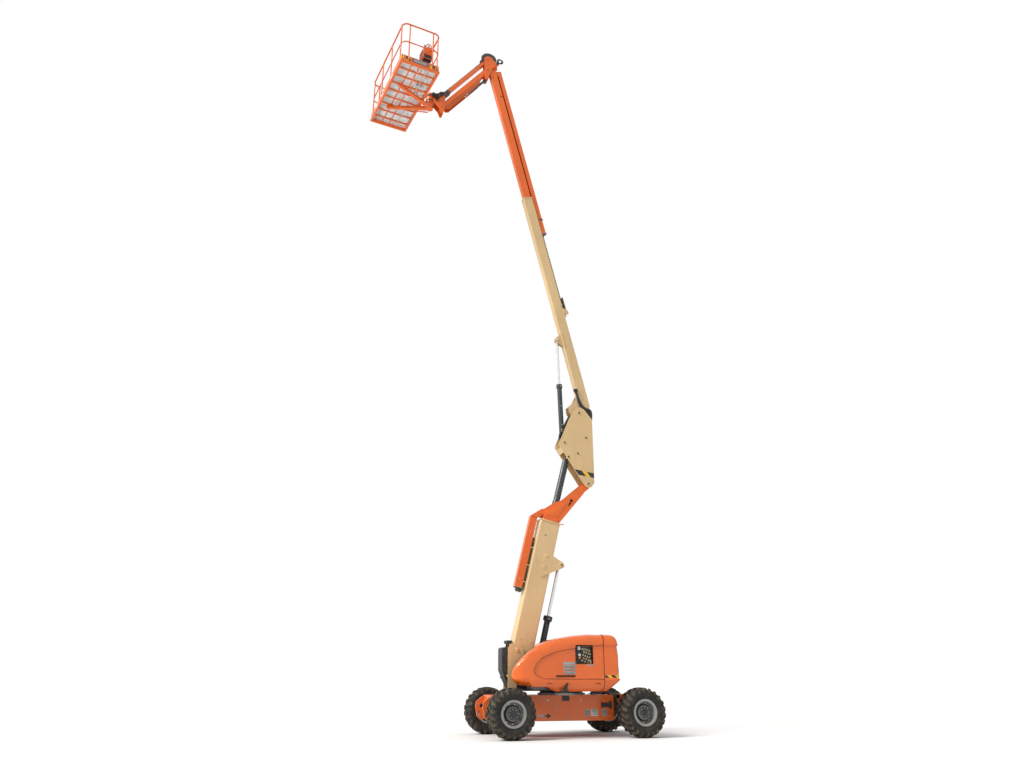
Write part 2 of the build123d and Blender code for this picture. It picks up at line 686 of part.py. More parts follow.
tip = boom_point(tower_pin, tower_angle, 1, *tower_tip)
main_ram_base = (140, 5580)
level_ram_base = (215, 5280)
upright_outline = (
    (tip[0] - 60, tip[1] - 60), (350, 5014), (20, 5520), (35, 5600), (255, 6110), (370, 6330), (430, 6385),
    (520, 6385), (600, 6340), (770, 6130), (770, 4760), (700, 4670), (tip[0], tip[1] - 85),
)
upright = None
for side in (1, -1):
    y_from, y_to = sorted((side * upright_inside, side * (upright_inside + upright_wall)))
    cheek = plate(upright_outline, y_from, y_to)
    upright = cheek if upright is None else upright + cheek
upright += block(756, 770, -upright_inside, upright_inside, 5050, 6000)
upright += plate(((55, 5480), (120, 5375), (132, 5382), (67, 5487)), -upright_inside, upright_inside)
for point, radius in ((tip, tip_pin_radius), (main_pin, upright_pin_radius)):
    upright += bar(*point, radius, -upright_inside - upright_wall - 8, upright_inside + upright_wall + 8)
level_half = 60
for point in (main_ram_base, level_ram_base):
    upright += bar(*point, ram_pin_radius, -upright_inside - upright_wall - 8, upright_inside + upright_wall + 8)
save("upright", upright)

level_eye_world = boom_point(tower_pin, tower_angle, 1, *level_eye)
barrel, shaft = ram(level_ram_base, level_eye_world, 64, 34, 1008, level_half, ram_pin_radius)
save("level_cylinder_barrel", barrel)
save("level_cylinder_rod", shaft)

# ---------------------------------------------------------------------------------------------- main boom

main_place = boom_place(main_pin, main_angle, -1)
main_under = main_axis - main_height / 2
main_back = main_axis + main_height / 2
main_base = tube(120, main_top, main_width, main_height, main_wall, main_axis)
main_base += collar(
    main_top, main_top + 16, main_width, main_height, 8, slide_play, main_fly_width, main_fly_height, main_wall,
    main_axis
)
foot_plate_wall = 14
foot_outline = (
    (-70, -60), (-40, -150), (60, -190), (187, -175), (260, -20), (420, 110), (420, 300), (120, 310), (0, 240), (-75, 60)
)
foot_half = main_width / 2
for side in (1, -1):
    y_from, y_to = sorted((side * foot_half, side * (foot_half + foot_plate_wall)))
    main_base += plate(foot_outline, y_from, y_to)
main_base += bar(0, 0, 60, -upright_inside + side_play, upright_inside - side_play)
main_base -= bar(0, 0, upright_pin_radius + pin_play, -upright_inside, upright_inside)
main_ram_eye = (1729, 11)
ear_outline = (
    (1560, main_under + 4), (1680, -25), (1729, -45), (1780, -20), (1850, main_under + 4)
)
main_ear_half = 30
for side in (1, -1):
    y_from, y_to = sorted((side * (main_ear_half + side_play), side * (main_ear_half + side_play + 16)))
    main_base += plate(ear_outline, y_from, y_to)
save("main_base", main_place * main_base)

main_carrier_width = 64
main_loop = 46
main_carrier = block(2440, 4330, -main_carrier_width / 2, main_carrier_width / 2, main_back, main_back + 36)
curl = bar(2440, main_back + main_loop, main_loop, -main_carrier_width / 2, main_carrier_width / 2)
curl -= bar(2440, main_back + main_loop, main_loop - 36, -main_carrier_width / 2, main_carrier_width / 2)
curl -= block(2440, 2600, -100, 100, main_back, main_back + 2 * main_loop)
main_carrier += curl
main_carrier += block(
    2440, 2700, -main_carrier_width / 2, main_carrier_width / 2, main_back + 2 * main_loop - 36, main_back + 2 * main_loop
)
save("main_hose_carrier", main_place * main_carrier)

main_fly = tube(1250 + 3500, main_fly_top, main_fly_width, main_fly_height, main_wall, main_axis)
nose_outline = (
    (main_fly_top - 160, 150), (main_fly_top - 160, 280), (main_fly_top + 5, 280), (main_fly_top + 40, 350),
    (9060, 360), (9100, 310), (9095, 240), (9000, 160)
)
for side in (1, -1):
    y_from, y_to = sorted((side * (main_fly_width / 2 - 20), side * (main_fly_width / 2 - 5)))
    main_fly += plate(nose_outline, y_from, y_to)
nose_half = main_fly_width / 2 + 8
main_fly += bar(*main_nose, 46, -nose_half, nose_half)
main_fly -= bar(*main_nose, 25 + pin_play, -nose_half, nose_half)
save("main_fly", main_place * main_fly)

push_half = 46
push_wall = 6
push_bottom = main_back + 14
push_top = main_back + 108
main_channel = block(4345, main_fly_top, -push_half, push_half, push_bottom, push_top)
main_channel -= block(4300, main_fly_top - 60, -push_half + push_wall, push_half - push_wall, 0, push_top - push_wall)
main_channel += block(
    main_fly_top - 125, main_fly_top, -push_half + 2, push_half - 2, main_axis + main_fly_height / 2, push_bottom + 20
)
save("main_push_tube", main_place * main_channel)

main_eye_world = boom_point(main_pin, main_angle, -1, *main_ram_eye)
barrel, shaft = ram(main_ram_base, main_eye_world, 52, 26, 1330, main_ear_half, ram_pin_radius)
save("main_cylinder_barrel", barrel)
save("main_cylinder_rod", shaft)

# ---------------------------------------------------------------------------------------------- jib

nose = boom_point(main_pin, main_angle, -1, *main_nose)
arm_pin = (nose[0] - 190, nose[1] - 150)
link_pin = (arm_pin[0], arm_pin[1] + jib_rise)
jib_ram_base = (arm_pin[0] - 20, arm_pin[1] - 265)
head_inside = max(jib_width / 2, nose_half) + side_play
head_wall = 14
head_outline = (
    (nose[0] + 70, nose[1] - 10), (nose[0] + 55, nose[1] + 90), (link_pin[0] + 90, link_pin[1] + 75),
    (link_pin[0] + 20, link_pin[1] + 95), (link_pin[0] - 50, link_pin[1] + 60), (link_pin[0] - 75, link_pin[1] - 20),
    (arm_pin[0] - 70, arm_pin[1] + 20), (arm_pin[0] - 60, arm_pin[1] - 50), (jib_ram_base[0] - 45, jib_ram_base[1] - 20),
    (jib_ram_base[0], jib_ram_base[1] - 48), (jib_ram_base[0] + 42, jib_ram_base[1] - 10), (nose[0] - 60, nose[1] - 90),
)
jib_head = None
for side in (1, -1):
    y_from, y_to = sorted((side * head_inside, side * (head_inside + head_wall)))
    cheek = plate(head_outline, y_from, y_to)
    jib_head = cheek if jib_head is None else jib_head + cheek
pin_half = head_inside + head_wall + 8
for point, radius in ((nose, 25), (arm_pin, jib_pin_radius), (link_pin, jib_pin_radius), (jib_ram_base, 18)):
    jib_head += bar(*point, radius, -pin_half, pin_half)
save("jib_head", jib_head)

jib_place = boom_place(arm_pin, jib_angle, -1)
jib_arm = tube(70, jib_length - 60, jib_width, jib_height, jib_wall, 0)
for s in (0, jib_length):
    near, far = sorted((s, s + (90 if s == 0 else -90)))
    jib_arm += block(near, far, -jib_width / 2, jib_width / 2, -jib_height / 2 + 15, jib_height / 2 - 15)
    jib_arm += bar(s, 0, jib_height / 2 - 15, -jib_width / 2, jib_width / 2)
    jib_arm -= bar(s, 0, jib_pin_radius + pin_play, -jib_width / 2, jib_width / 2)
jib_ear = (1000, -jib_height / 2 - 65)
jib_ear_half = 24
jib_ram_travel = 462
for side in (1, -1):
    y_from, y_to = sorted((side * (jib_ear_half + side_play), side * (jib_ear_half + side_play + 12)))
    jib_arm += plate(
        ((900, -jib_height / 2 + 2), (970, jib_ear[1] - 25), (1030, jib_ear[1] - 25), (1100, -jib_height / 2 + 2)),
        y_from, y_to
    )
save("jib_arm", jib_place * jib_arm)

link_place = boom_place(link_pin, jib_angle, -1)
jib_link = tube(60, jib_length - 50, link_width, link_height, jib_wall, 0)
for s in (0, jib_length):
    near, far = sorted((s, s + (80 if s == 0 else -80)))
    jib_link += block(near, far, -link_width / 2, link_width / 2, -link_height / 2 + 10, link_height / 2 - 10)
    jib_link += bar(s, 0, link_height / 2 - 10, -link_width / 2, link_width / 2)
    jib_link -= bar(s, 0, jib_pin_radius + pin_play, -link_width / 2, link_width / 2)
save("jib_link", link_place * jib_link)

jib_eye_world = boom_point(arm_pin, jib_angle, -1, *jib_ear)
barrel, shaft = ram(jib_ram_base, jib_eye_world, 27, 15, 665, jib_ear_half, 18, travel_left=jib_ram_travel)
save("jib_cylinder_barrel", barrel)
save("jib_cylinder_rod", shaft)

# ---------------------------------------------------------------------------------------------- platform support

arm_end = boom_point(arm_pin, jib_angle, -1, jib_length, 0)
link_end = boom_point(link_pin, jib_angle, -1, jib_length, 0)
support_outline = (
    (arm_end[0] + 20, arm_end[1] - 200), (arm_end[0] + 70, arm_end[1] - 30), (link_end[0] + 65, link_end[1] - 10),
    (link_end[0] + 30, link_end[1] + 60), (link_end[0] - 40, link_end[1] + 60), (rotator_x + 60, rotator_top - 20),
    (rotator_x + 60, rotator_bottom + 40), (arm_end[0] - 70, arm_end[1] - 70), (arm_end[0] - 30, arm_end[1] - 190)
)
support_inside = jib_width / 2 + side_play
platform_support = None
for side in (1, -1):
    y_from, y_to = sorted((side * support_inside, side * (support_inside + 14)))
    cheek = plate(support_outline, y_from, y_to)
    platform_support = cheek if platform_support is None else platform_support + cheek
pin_half = support_inside + 14 + 8
for point in (arm_end, link_end):
    platform_support += bar(*point, jib_pin_radius, -pin_half, pin_half)
rotator_middle = (rotator_bottom + rotator_top) / 2
platform_support += Pos(rotator_x, 0, rotator_middle) * Cylinder(rotator_radius + 20, rotator_top - rotator_bottom - 40)
platform_support -= Pos(rotator_x, 0, rotator_middle) * Cylinder(30 + pin_play, 400)
save("platform_support", platform_support)

# Platform, in its own frame about the rotator's axis: X inboard to outboard, Y along it
platform_place = Pos(rotator_x, 0, 0) * Rot(0, 0, platform_turn)
inner_x = -platform_offset + platform_width / 2
outer_x = -platform_offset - platform_width / 2
half_length = platform_length / 2
floor_top = floor_bottom + floor_depth
rail_top = floor_top + rail_height - rail_radius
frame_tube = 50
mount = Pos(0, 0, (rotator_bottom - 90 + rotator_top + 30) / 2) * Cylinder(30, rotator_top - rotator_bottom + 120)
mount += Pos(0, 0, rotator_top + 10) * Cylinder(rotator_radius, 36)
foot_from, foot_to = floor_bottom - 66, rotator_bottom + 10
mount += Pos(0, 0, (foot_from + foot_to) / 2) * Cylinder(rotator_radius, foot_to - foot_from)
arm_far = outer_x + 200
for side in (1, -1):
    arm = Polyline(
        (25, side * 12, 0), (-65, side * 95, 0), (arm_far, side * 450, 0), (arm_far, side * 390, 0),
        (-30, side * -25, 0), close=True
    )
    mount += Pos(0, 0, floor_bottom - 60) * extrude(make_face(arm), amount=60, dir=(0, 0, 1))
save("platform_mount", platform_place * mount)

floor = block(outer_x, inner_x, -half_length, half_length, floor_bottom, floor_top - 4)
pocket = block(
    outer_x + frame_tube, inner_x - frame_tube, -half_length + frame_tube, half_length - frame_tube,
    floor_bottom - 1, floor_top
)
floor -= pocket
bar_count = 8
for index in range(1, bar_count + 1):
    y = -half_length + index * platform_length / (bar_count + 1)
    floor += block(outer_x + 10, inner_x - 10, y - 18, y + 18, floor_bottom + 16, floor_top - 4)
for x in (-platform_offset - 170, -platform_offset + 170):
    floor += block(x - 15, x + 15, -half_length + 10, half_length - 10, floor_bottom + 20, floor_top - 4)
floor += block(outer_x, inner_x, -half_length, half_length, floor_top - 4, floor_top)
save("platform_floor", platform_place * floor)

mid_rail = floor_top + 530


def bent_rail(x, x_end, z, radius):
    """Rail along a long side, bent round both corners."""
    path = FilletPolyline(
        (x_end, -post_end, z), (x, -post_end, z), (x, post_end, z), (x_end, post_end, z), radius=corner_radius
    )
    return sweep(Plane(origin=path @ 0, z_dir=path % 0) * Circle(radius), path=path)


def long_side(x, x_end, posts):
    """Toe board, posts and bent rails of one long side."""
    toe_end = post_end - toe_wall / 2 - 0.3
    side = block(x - toe_wall / 2, x + toe_wall / 2, -toe_end, toe_end, floor_top, floor_top + toe_height)
    for y in posts:
        side += Pos(x, y, (floor_top + rail_top) / 2) * Cylinder(post_radius, rail_top - floor_top)
    side += bent_rail(x, x_end, mid_rail, mid_radius)
    side += bent_rail(x, x_end, rail_top, rail_radius)
    return side


rail_x_outer = outer_x + rail_radius + 2
rail_x_inner = inner_x - rail_radius - 2
post_end = half_length - rail_radius - 2
corner_radius = 120
post_y = post_end - corner_radius
end_from = rail_x_outer + corner_radius + 12
end_to = rail_x_inner - corner_radius - 12
rails_outer = long_side(rail_x_outer, end_from, (-post_y, -post_y / 3, post_y / 3, post_y))
rails_inner = long_side(rail_x_inner, end_to, (-post_y, -post_y / 3, post_y / 3, post_y))
save("rails_outer", platform_place * rails_outer)
save("rails_inner", platform_place * rails_inner)

end_from += slide_play
end_to -= slide_play
toe_from = rail_x_outer - toe_wall / 2
toe_to = rail_x_inner + toe_wall / 2
near_end = block(toe_from, toe_to, -post_end - toe_wall / 2, -post_end + toe_wall / 2, floor_top, floor_top + toe_height)
for z, radius in ((mid_rail, mid_radius), (rail_top, rail_radius)):
    near_end += rod((end_from, -post_end, z), (end_to, -post_end, z), radius)
for x in (end_from + 25, end_to - 25):
    near_end += Pos(x, -post_end, (floor_top + rail_top) / 2) * Cylinder(post_radius, rail_top - floor_top)
save("rails_near_end", platform_place * near_end)

gate_hinge_x = end_from + 70
gate_end_x = end_to - 70
far_end = block(toe_from, toe_to, post_end - toe_wall / 2, post_end + toe_wall / 2, floor_top, floor_top + toe_height)
gate_bottom = floor_top + toe_height + 40
gate_post_top = rail_top + rail_radius
for x in (gate_hinge_x - 45, gate_end_x + 45):
    far_end += Pos(x, post_end, (floor_top + rail_top) / 2) * Cylinder(post_radius, rail_top - floor_top)
for z, radius in ((mid_rail, mid_radius), (rail_top, rail_radius)):
    far_end += rod((end_from, post_end, z), (gate_hinge_x - 45, post_end, z), radius)
    far_end += rod((gate_end_x + 45, post_end, z), (end_to, post_end, z), radius)
hinge_radius = 8
hinge_lug = 8
stud = 30
for z, up in ((gate_bottom - side_play - hinge_lug, 1), (gate_post_top + side_play, -1)):
    far_end += block(gate_hinge_x - 50, gate_hinge_x + 12, post_end - 12, post_end + 12, z, z + hinge_lug)
    far_end += Pos(gate_hinge_x, post_end, z + hinge_lug / 2 + up * stud / 2) * Cylinder(hinge_radius, stud)
far_end += block(gate_hinge_x - 57, gate_hinge_x - 33, post_end - 12, post_end + 12, rail_top, gate_post_top + 4)
save("rails_far_end", platform_place * far_end)

gate = None
for x in (gate_hinge_x, gate_end_x):
    post = Pos(x, post_end, (gate_bottom + gate_post_top) / 2) * Cylinder(post_radius, gate_post_top - gate_bottom)
    gate = post if gate is None else gate + post
for z, radius in ((mid_rail, mid_radius), (rail_top, rail_radius - 3)):
    gate += rod((gate_hinge_x, post_end, z), (gate_end_x, post_end, z), radius)
for z in (gate_bottom, gate_post_top):
    gate -= Pos(gate_hinge_x, post_end, z) * Cylinder(hinge_radius + pin_play, 2 * stud)
save("platform_gate", platform_place * gate)

console_inside = rail_x_inner - rail_radius - slide_play
console = block(console_inside - 180, console_inside, -700, -200, rail_top - 190, rail_top + 70)
console += block(
    console_inside - 20, rail_x_inner + 30, -620, -280, gate_post_top + slide_play, gate_post_top + slide_play + 8
)
save("platform_console", platform_place * console)
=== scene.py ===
"""Finishes, trim and small parts for an articulating boom lift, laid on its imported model."""

import json
import math

import bmesh
import bpy
from bpy.props import FloatProperty, FloatVectorProperty, IntProperty, PointerProperty
from mathutils import Matrix, Vector


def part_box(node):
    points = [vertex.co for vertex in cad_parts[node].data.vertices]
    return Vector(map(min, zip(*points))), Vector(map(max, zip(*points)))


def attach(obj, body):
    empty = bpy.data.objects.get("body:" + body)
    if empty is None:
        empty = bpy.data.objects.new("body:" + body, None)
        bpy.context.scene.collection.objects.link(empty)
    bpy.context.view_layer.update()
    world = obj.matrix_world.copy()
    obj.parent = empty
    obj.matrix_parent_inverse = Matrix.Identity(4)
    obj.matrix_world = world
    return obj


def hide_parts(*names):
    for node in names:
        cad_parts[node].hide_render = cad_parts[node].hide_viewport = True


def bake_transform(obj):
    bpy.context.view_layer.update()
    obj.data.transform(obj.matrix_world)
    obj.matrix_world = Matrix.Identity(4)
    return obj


bl_info = {
    "name": "Boom Lift Finishing",
    "version": (1, 0, 0),
    "blender": (4, 5, 0),
    "location": "3D View > Sidebar > Boom Lift",
    "description": "Builds the finishes, trim and small parts of an articulating boom lift",
    "category": "Object",
}

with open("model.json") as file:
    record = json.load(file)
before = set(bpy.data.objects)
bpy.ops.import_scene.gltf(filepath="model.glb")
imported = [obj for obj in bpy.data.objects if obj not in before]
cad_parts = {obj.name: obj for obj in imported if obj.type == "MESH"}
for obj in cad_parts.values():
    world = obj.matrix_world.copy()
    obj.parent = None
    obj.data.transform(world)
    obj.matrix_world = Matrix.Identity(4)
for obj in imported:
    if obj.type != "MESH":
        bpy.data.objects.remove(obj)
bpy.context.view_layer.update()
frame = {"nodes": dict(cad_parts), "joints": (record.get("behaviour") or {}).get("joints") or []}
joints = {joint["name"]: joint for joint in frame["joints"]}


def pin_of(joint):
    """Where a joint's pin is, in the machine's middle plane."""
    place = joints[joint]["pos_m"]
    return Vector((place[0], 0, place[2]))


def boom_frame(pin, along):
    """Frame of a boom: X along it from its pin, Z to its back."""
    along = Vector(along).normalized()
    back = Vector((-abs(along.z) * math.copysign(1, along.x), 0, abs(along.x)))
    if along.z < 0:
        back = Vector((along.z, 0, -along.x))
    side = back.cross(along)
    turned = Matrix((along, side, back)).transposed().to_4x4()
    return Matrix.Translation(pin) @ turned


PLAIN = Matrix.Identity(4)
# Frames whose Z, about which a lathe turns, looks out to the left, in to the right, ahead or back
OUTWARD, INWARD = Matrix.Rotation(-math.pi / 2, 4, "X"), Matrix.Rotation(math.pi / 2, 4, "X")
AHEAD, ASTERN = Matrix.Rotation(math.pi / 2, 4, "Y"), Matrix.Rotation(-math.pi / 2, 4, "Y")
BOX_FACES = ((0, 1, 3, 2), (4, 6, 7, 5), (0, 4, 5, 1), (2, 3, 7, 6), (0, 2, 6, 4), (1, 5, 7, 3))
SIDES = (1, -1)
HANDS = (("left", 1), ("right", -1))
SHELL = 0.006  # thickness of the moulded skins


def mirrored(hand):
    """Frame that carries the left side's shapes (hand 1) to the right side (hand -1)."""
    return Matrix.Scale(hand, 4, (0, 1, 0))


def aimed(place, at, along, axis="Z"):
    """Frame at a point of a place, with one axis along a direction."""
    return place @ Matrix.Translation(at) @ along.to_track_quat(axis, "Y").to_matrix().to_4x4()


TOWER = boom_frame(pin_of("tower_lift"), joints["tower_extend"]["axis"])
MAIN = boom_frame(pin_of("main_lift"), joints["main_extend"]["axis"])
JIB = boom_frame(pin_of("jib_lift"), pin_of("platform_level") - pin_of("jib_lift"))
LINK = Matrix.Translation(pin_of("jib_link_swing") - pin_of("jib_lift")) @ JIB
PLATFORM_TURN = math.radians(10.93)
PLATFORM = Matrix.Translation((joints["platform_rotate"]["pos_m"][0], 0, 0)) @ Matrix.Rotation(PLATFORM_TURN, 4, "Z")
WHEELS = (
    # name, body, joint, outboard side
    ("drive_left", "drive_left_wheel", "drive_left_spin", 1),
    ("drive_right", "drive_right_wheel", "drive_right_spin", -1),
    ("steer_left", "steer_left_wheel", "steer_left_spin", 1),
    ("steer_right", "steer_right_wheel", "steer_right_spin", -1),
)


class LiftSizes(bpy.types.PropertyGroup):
    tyre_radius: FloatProperty(name="Tyre radius", description="Over the lugs", default=0.419, unit="LENGTH")
    tyre_width: FloatProperty(name="Tyre width", description="Over the lugs", default=0.394, unit="LENGTH")
    lug_count: IntProperty(name="Lugs", description="Tread lugs on each side of a tyre", default=22, min=8)
    carrier_pitch: FloatProperty(
        name="Carrier pitch", description="Length of a hose carrier's link", default=0.066, unit="LENGTH"
    )
    stripe_width: FloatProperty(
        name="Stripe width", description="Width of a warning stripe", default=0.05, unit="LENGTH"
    )
    floor_pitch: FloatProperty(
        name="Floor mesh", description="Pitch of the platform floor's expanded mesh", default=0.05, unit="LENGTH"
    )


class LiftColours(bpy.types.PropertyGroup):
    orange: FloatVectorProperty(
        name="Orange", description="Hoods, chassis and inner booms", subtype="COLOR", default=(0.82, 0.135, 0.004)
    )
    tan: FloatVectorProperty(
        name="Tan", description="Outer booms and upright", subtype="COLOR", default=(0.72, 0.50, 0.25)
    )
    black: FloatVectorProperty(
        name="Black", description="Cylinders and brackets", subtype="COLOR", default=(0.014, 0.017, 0.019)
    )
    yellow: FloatVectorProperty(
        name="Yellow", description="Warning stripes", subtype="COLOR", default=(0.85, 0.52, 0.02)
    )


# ------------------------------------------------------------------------------------------------ finishes


class Recipe:
    """A finish in the making: its node tree and short ways to add to it."""

    def __init__(self, name, colour, roughness, metal=0.0, coat=0.0):
        self.material = bpy.data.materials.new(name)
        self.material.use_nodes = True
        self.material.diffuse_color = (*colour, 1)
        self.tree = self.material.node_tree
        self.shader = self.tree.nodes["Principled BSDF"]
        self.set("Base Color", (*colour, 1))
        self.set("Roughness", roughness)
        self.set("Metallic", metal)
        self.set("Coat Weight", coat)
        self.set("Coat Roughness", 0.08)
        self.place = self.add("ShaderNodeTexCoord").outputs["Object"]

    def set(self, socket, value):
        self.shader.inputs[socket].default_value = value

    def add(self, kind, **inputs):
        node = self.tree.nodes.new(kind)
        for name, value in inputs.items():
            self.feed(node.inputs[name.replace("_", " ")], value)
        return node

    def feed(self, socket, value):
        if isinstance(value, bpy.types.NodeSocket):
            self.tree.links.new(value, socket)
        else:
            socket.default_value = value

    def to_shader(self, socket, value):
        self.feed(self.shader.inputs[socket], value)

    def noise(self, scale, detail=4.0, roughness=0.55, stretch=None):
        place = self.place
        if stretch:
            place = self.add("ShaderNodeMapping", Vector=place, Scale=stretch).outputs["Vector"]
        return self.add(
            "ShaderNodeTexNoise", Vector=place, Scale=scale, Detail=detail, Roughness=roughness
        ).outputs["Fac"]

    def span(self, value, low, high, to_low=0.0, to_high=1.0):
        node = self.add("ShaderNodeMapRange", Value=value)
        for name, number in (("From Min", low), ("From Max", high), ("To Min", to_low), ("To Max", to_high)):
            node.inputs[name].default_value = number
        return node.outputs["Result"]

    def times(self, a, b):
        node = self.add("ShaderNodeMath")
        node.operation = "MULTIPLY"
        self.feed(node.inputs[0], a)
        self.feed(node.inputs[1], b)
        return node.outputs[0]

    def blend(self, amount, a, b):
        node = self.add("ShaderNodeMix")
        node.data_type = "RGBA"
        self.feed(node.inputs["Factor"], amount)
        self.feed(node.inputs["A"], a)
        self.feed(node.inputs["B"], b)
        return node.outputs["Result"]

    def height(self, *layers):
        """Bump from (value, strength, distance) layers, one on the other."""
        normal = None
        for value, strength, distance in layers:
            node = self.add("ShaderNodeBump", Height=value, Strength=strength, Distance=distance)
            if normal:
                self.feed(node.inputs["Normal"], normal)
            normal = node.outputs["Normal"]
        self.to_shader("Normal", normal)

    def low_down(self, top):
        """1 at the ground and 0 from a height up."""
        apart = self.add("ShaderNodeSeparateXYZ", Vector=self.place)
        return self.span(apart.outputs["Z"], 0.0, top, 1.0, 0.0)


def tint(colour, by):
    return (*[min(1.0, part * by) for part in colour], 1)


def paint(name, colour, roughness=0.32, coat=0.35, grime=0.16, peel=0.05):
    """Enamel on steel: faded in patches, streaked by rain, dusty near the ground, with a slight orange peel."""
    recipe = Recipe(name, colour, roughness, coat=coat)
    patches = recipe.span(recipe.noise(0.9, 5), 0.35, 0.68)
    base = recipe.blend(patches, tint(colour, 0.9), tint(colour, 1.08))
    streaks = recipe.span(recipe.noise(1.0, 6, 0.6, (9, 9, 0.7)), 0.52, 0.8, 0.0, grime)
    base = recipe.blend(streaks, base, (*[0.35 * part + 0.03 for part in colour], 1))
    specks = recipe.span(recipe.noise(34, 3), 0.68, 0.74, 0.0, 0.55 * grime)
    base = recipe.blend(specks, base, (0.10, 0.075, 0.055, 1))
    dust = recipe.times(recipe.low_down(1.0), recipe.span(recipe.noise(5, 5), 0.35, 0.75, 0.0, 0.45))
    base = recipe.blend(dust, base, (0.33, 0.25, 0.17, 1))
    recipe.to_shader("Base Color", base)
    recipe.to_shader("Roughness", recipe.span(recipe.noise(7, 4), 0.3, 0.75, roughness - 0.08, roughness + 0.14))
    recipe.height((recipe.noise(260, 2), peel, 0.0006), (recipe.noise(3.5, 3), 0.05, 0.01))
    return recipe.material


def bare_metal(name, colour, roughness=0.25, brushed=None):
    """Chrome or plated steel, with the faint marks of its working."""
    recipe = Recipe(name, colour, roughness, metal=1.0)
    marks = recipe.noise(60, 4, 0.6, brushed or (1, 1, 1))
    recipe.to_shader("Roughness", recipe.span(marks, 0.3, 0.7, roughness - 0.07, roughness + 0.12))
    smears = recipe.span(recipe.noise(6, 4), 0.4, 0.75, 0.0, 0.35)
    recipe.to_shader("Base Color", recipe.blend(smears, (*colour, 1), tint(colour, 0.62)))
    recipe.height((marks, 0.04, 0.0006),)
    return recipe.material


def rubber(name, colour, dusty, roughness=0.85):
    """Tyre rubber or hose cover, with dust in patches and a fine grain."""
    recipe = Recipe(name, colour, roughness)
    dust = recipe.span(recipe.noise(11, 6, 0.65), 0.42, 0.66, 0.0, dusty)
    base = recipe.blend(dust, (*colour, 1), (0.30, 0.22, 0.135, 1))
    recipe.to_shader("Base Color", base)
    recipe.to_shader("Roughness", recipe.span(recipe.noise(20, 3), 0.3, 0.7, roughness - 0.15, roughness + 0.1))
    recipe.height((recipe.noise(150, 3), 0.25, 0.001), (recipe.noise(18, 4), 0.15, 0.004))
    return recipe.material


def plastic(name, colour, roughness=0.45, grain=0.12):
    """Moulded plastic with a fine grain."""
    recipe = Recipe(name, colour, roughness)
    shade = recipe.span(recipe.noise(4, 4), 0.3, 0.7)
    recipe.to_shader("Base Color", recipe.blend(shade, tint(colour, 0.85), tint(colour, 1.12)))
    recipe.to_shader("Roughness", recipe.span(recipe.noise(30, 3), 0.3, 0.7, roughness - 0.08, roughness + 0.1))
    recipe.height((recipe.noise(400, 2), grain, 0.0005),)
    return recipe.material


def cast_black(name, colour, roughness=0.6):
    """Black paint on a rough casting, greyed by dust."""
    recipe = Recipe(name, colour, roughness)
    dust = recipe.span(recipe.noise(6, 6, 0.65), 0.4, 0.75, 0.0, 0.4)
    recipe.to_shader("Base Color", recipe.blend(dust, (*colour, 1), (0.13, 0.125, 0.12, 1)))
    recipe.to_shader("Roughness", recipe.span(recipe.noise(25, 3), 0.3, 0.7, roughness - 0.1, roughness + 0.2))
    recipe.height((recipe.noise(120, 4), 0.3, 0.0015), (recipe.noise(9, 3), 0.12, 0.006))
    return recipe.material


def stripes(name, dark, light, width, slope):
    """Warning tape: slanted stripes of two colours, a little scuffed."""
    recipe = Recipe(name, light, 0.45)
    apart = recipe.add("ShaderNodeSeparateXYZ", Vector=recipe.place)
    total = recipe.times(apart.outputs["Z"], slope[2])
    for axis, weight in (("X", slope[0]), ("Y", slope[1])):
        if weight:
            node = recipe.add("ShaderNodeMath")
            recipe.feed(node.inputs[0], total)
            recipe.feed(node.inputs[1], recipe.times(apart.outputs[axis], weight))
            total = node.outputs[0]
    wave = recipe.add("ShaderNodeMath")
    wave.operation = "FRACT"
    recipe.feed(wave.inputs[0], recipe.times(total, 1 / (2 * width)))
    half = recipe.add("ShaderNodeMath")
    half.operation = "GREATER_THAN"
    recipe.feed(half.inputs[0], wave.outputs[0])
    half.inputs[1].default_value = 0.5
    base = recipe.blend(half.outputs[0], (*dark, 1), (*light, 1))
    scuffs = recipe.span(recipe.noise(14, 6, 0.7), 0.55, 0.75, 0.0, 0.5)
    recipe.to_shader("Base Color", recipe.blend(scuffs, base, (0.2, 0.16, 0.11, 1)))
    recipe.height((recipe.noise(90, 3), 0.08, 0.001),)
    return recipe.material


# ------------------------------------------------------------------------------------------------ shapes


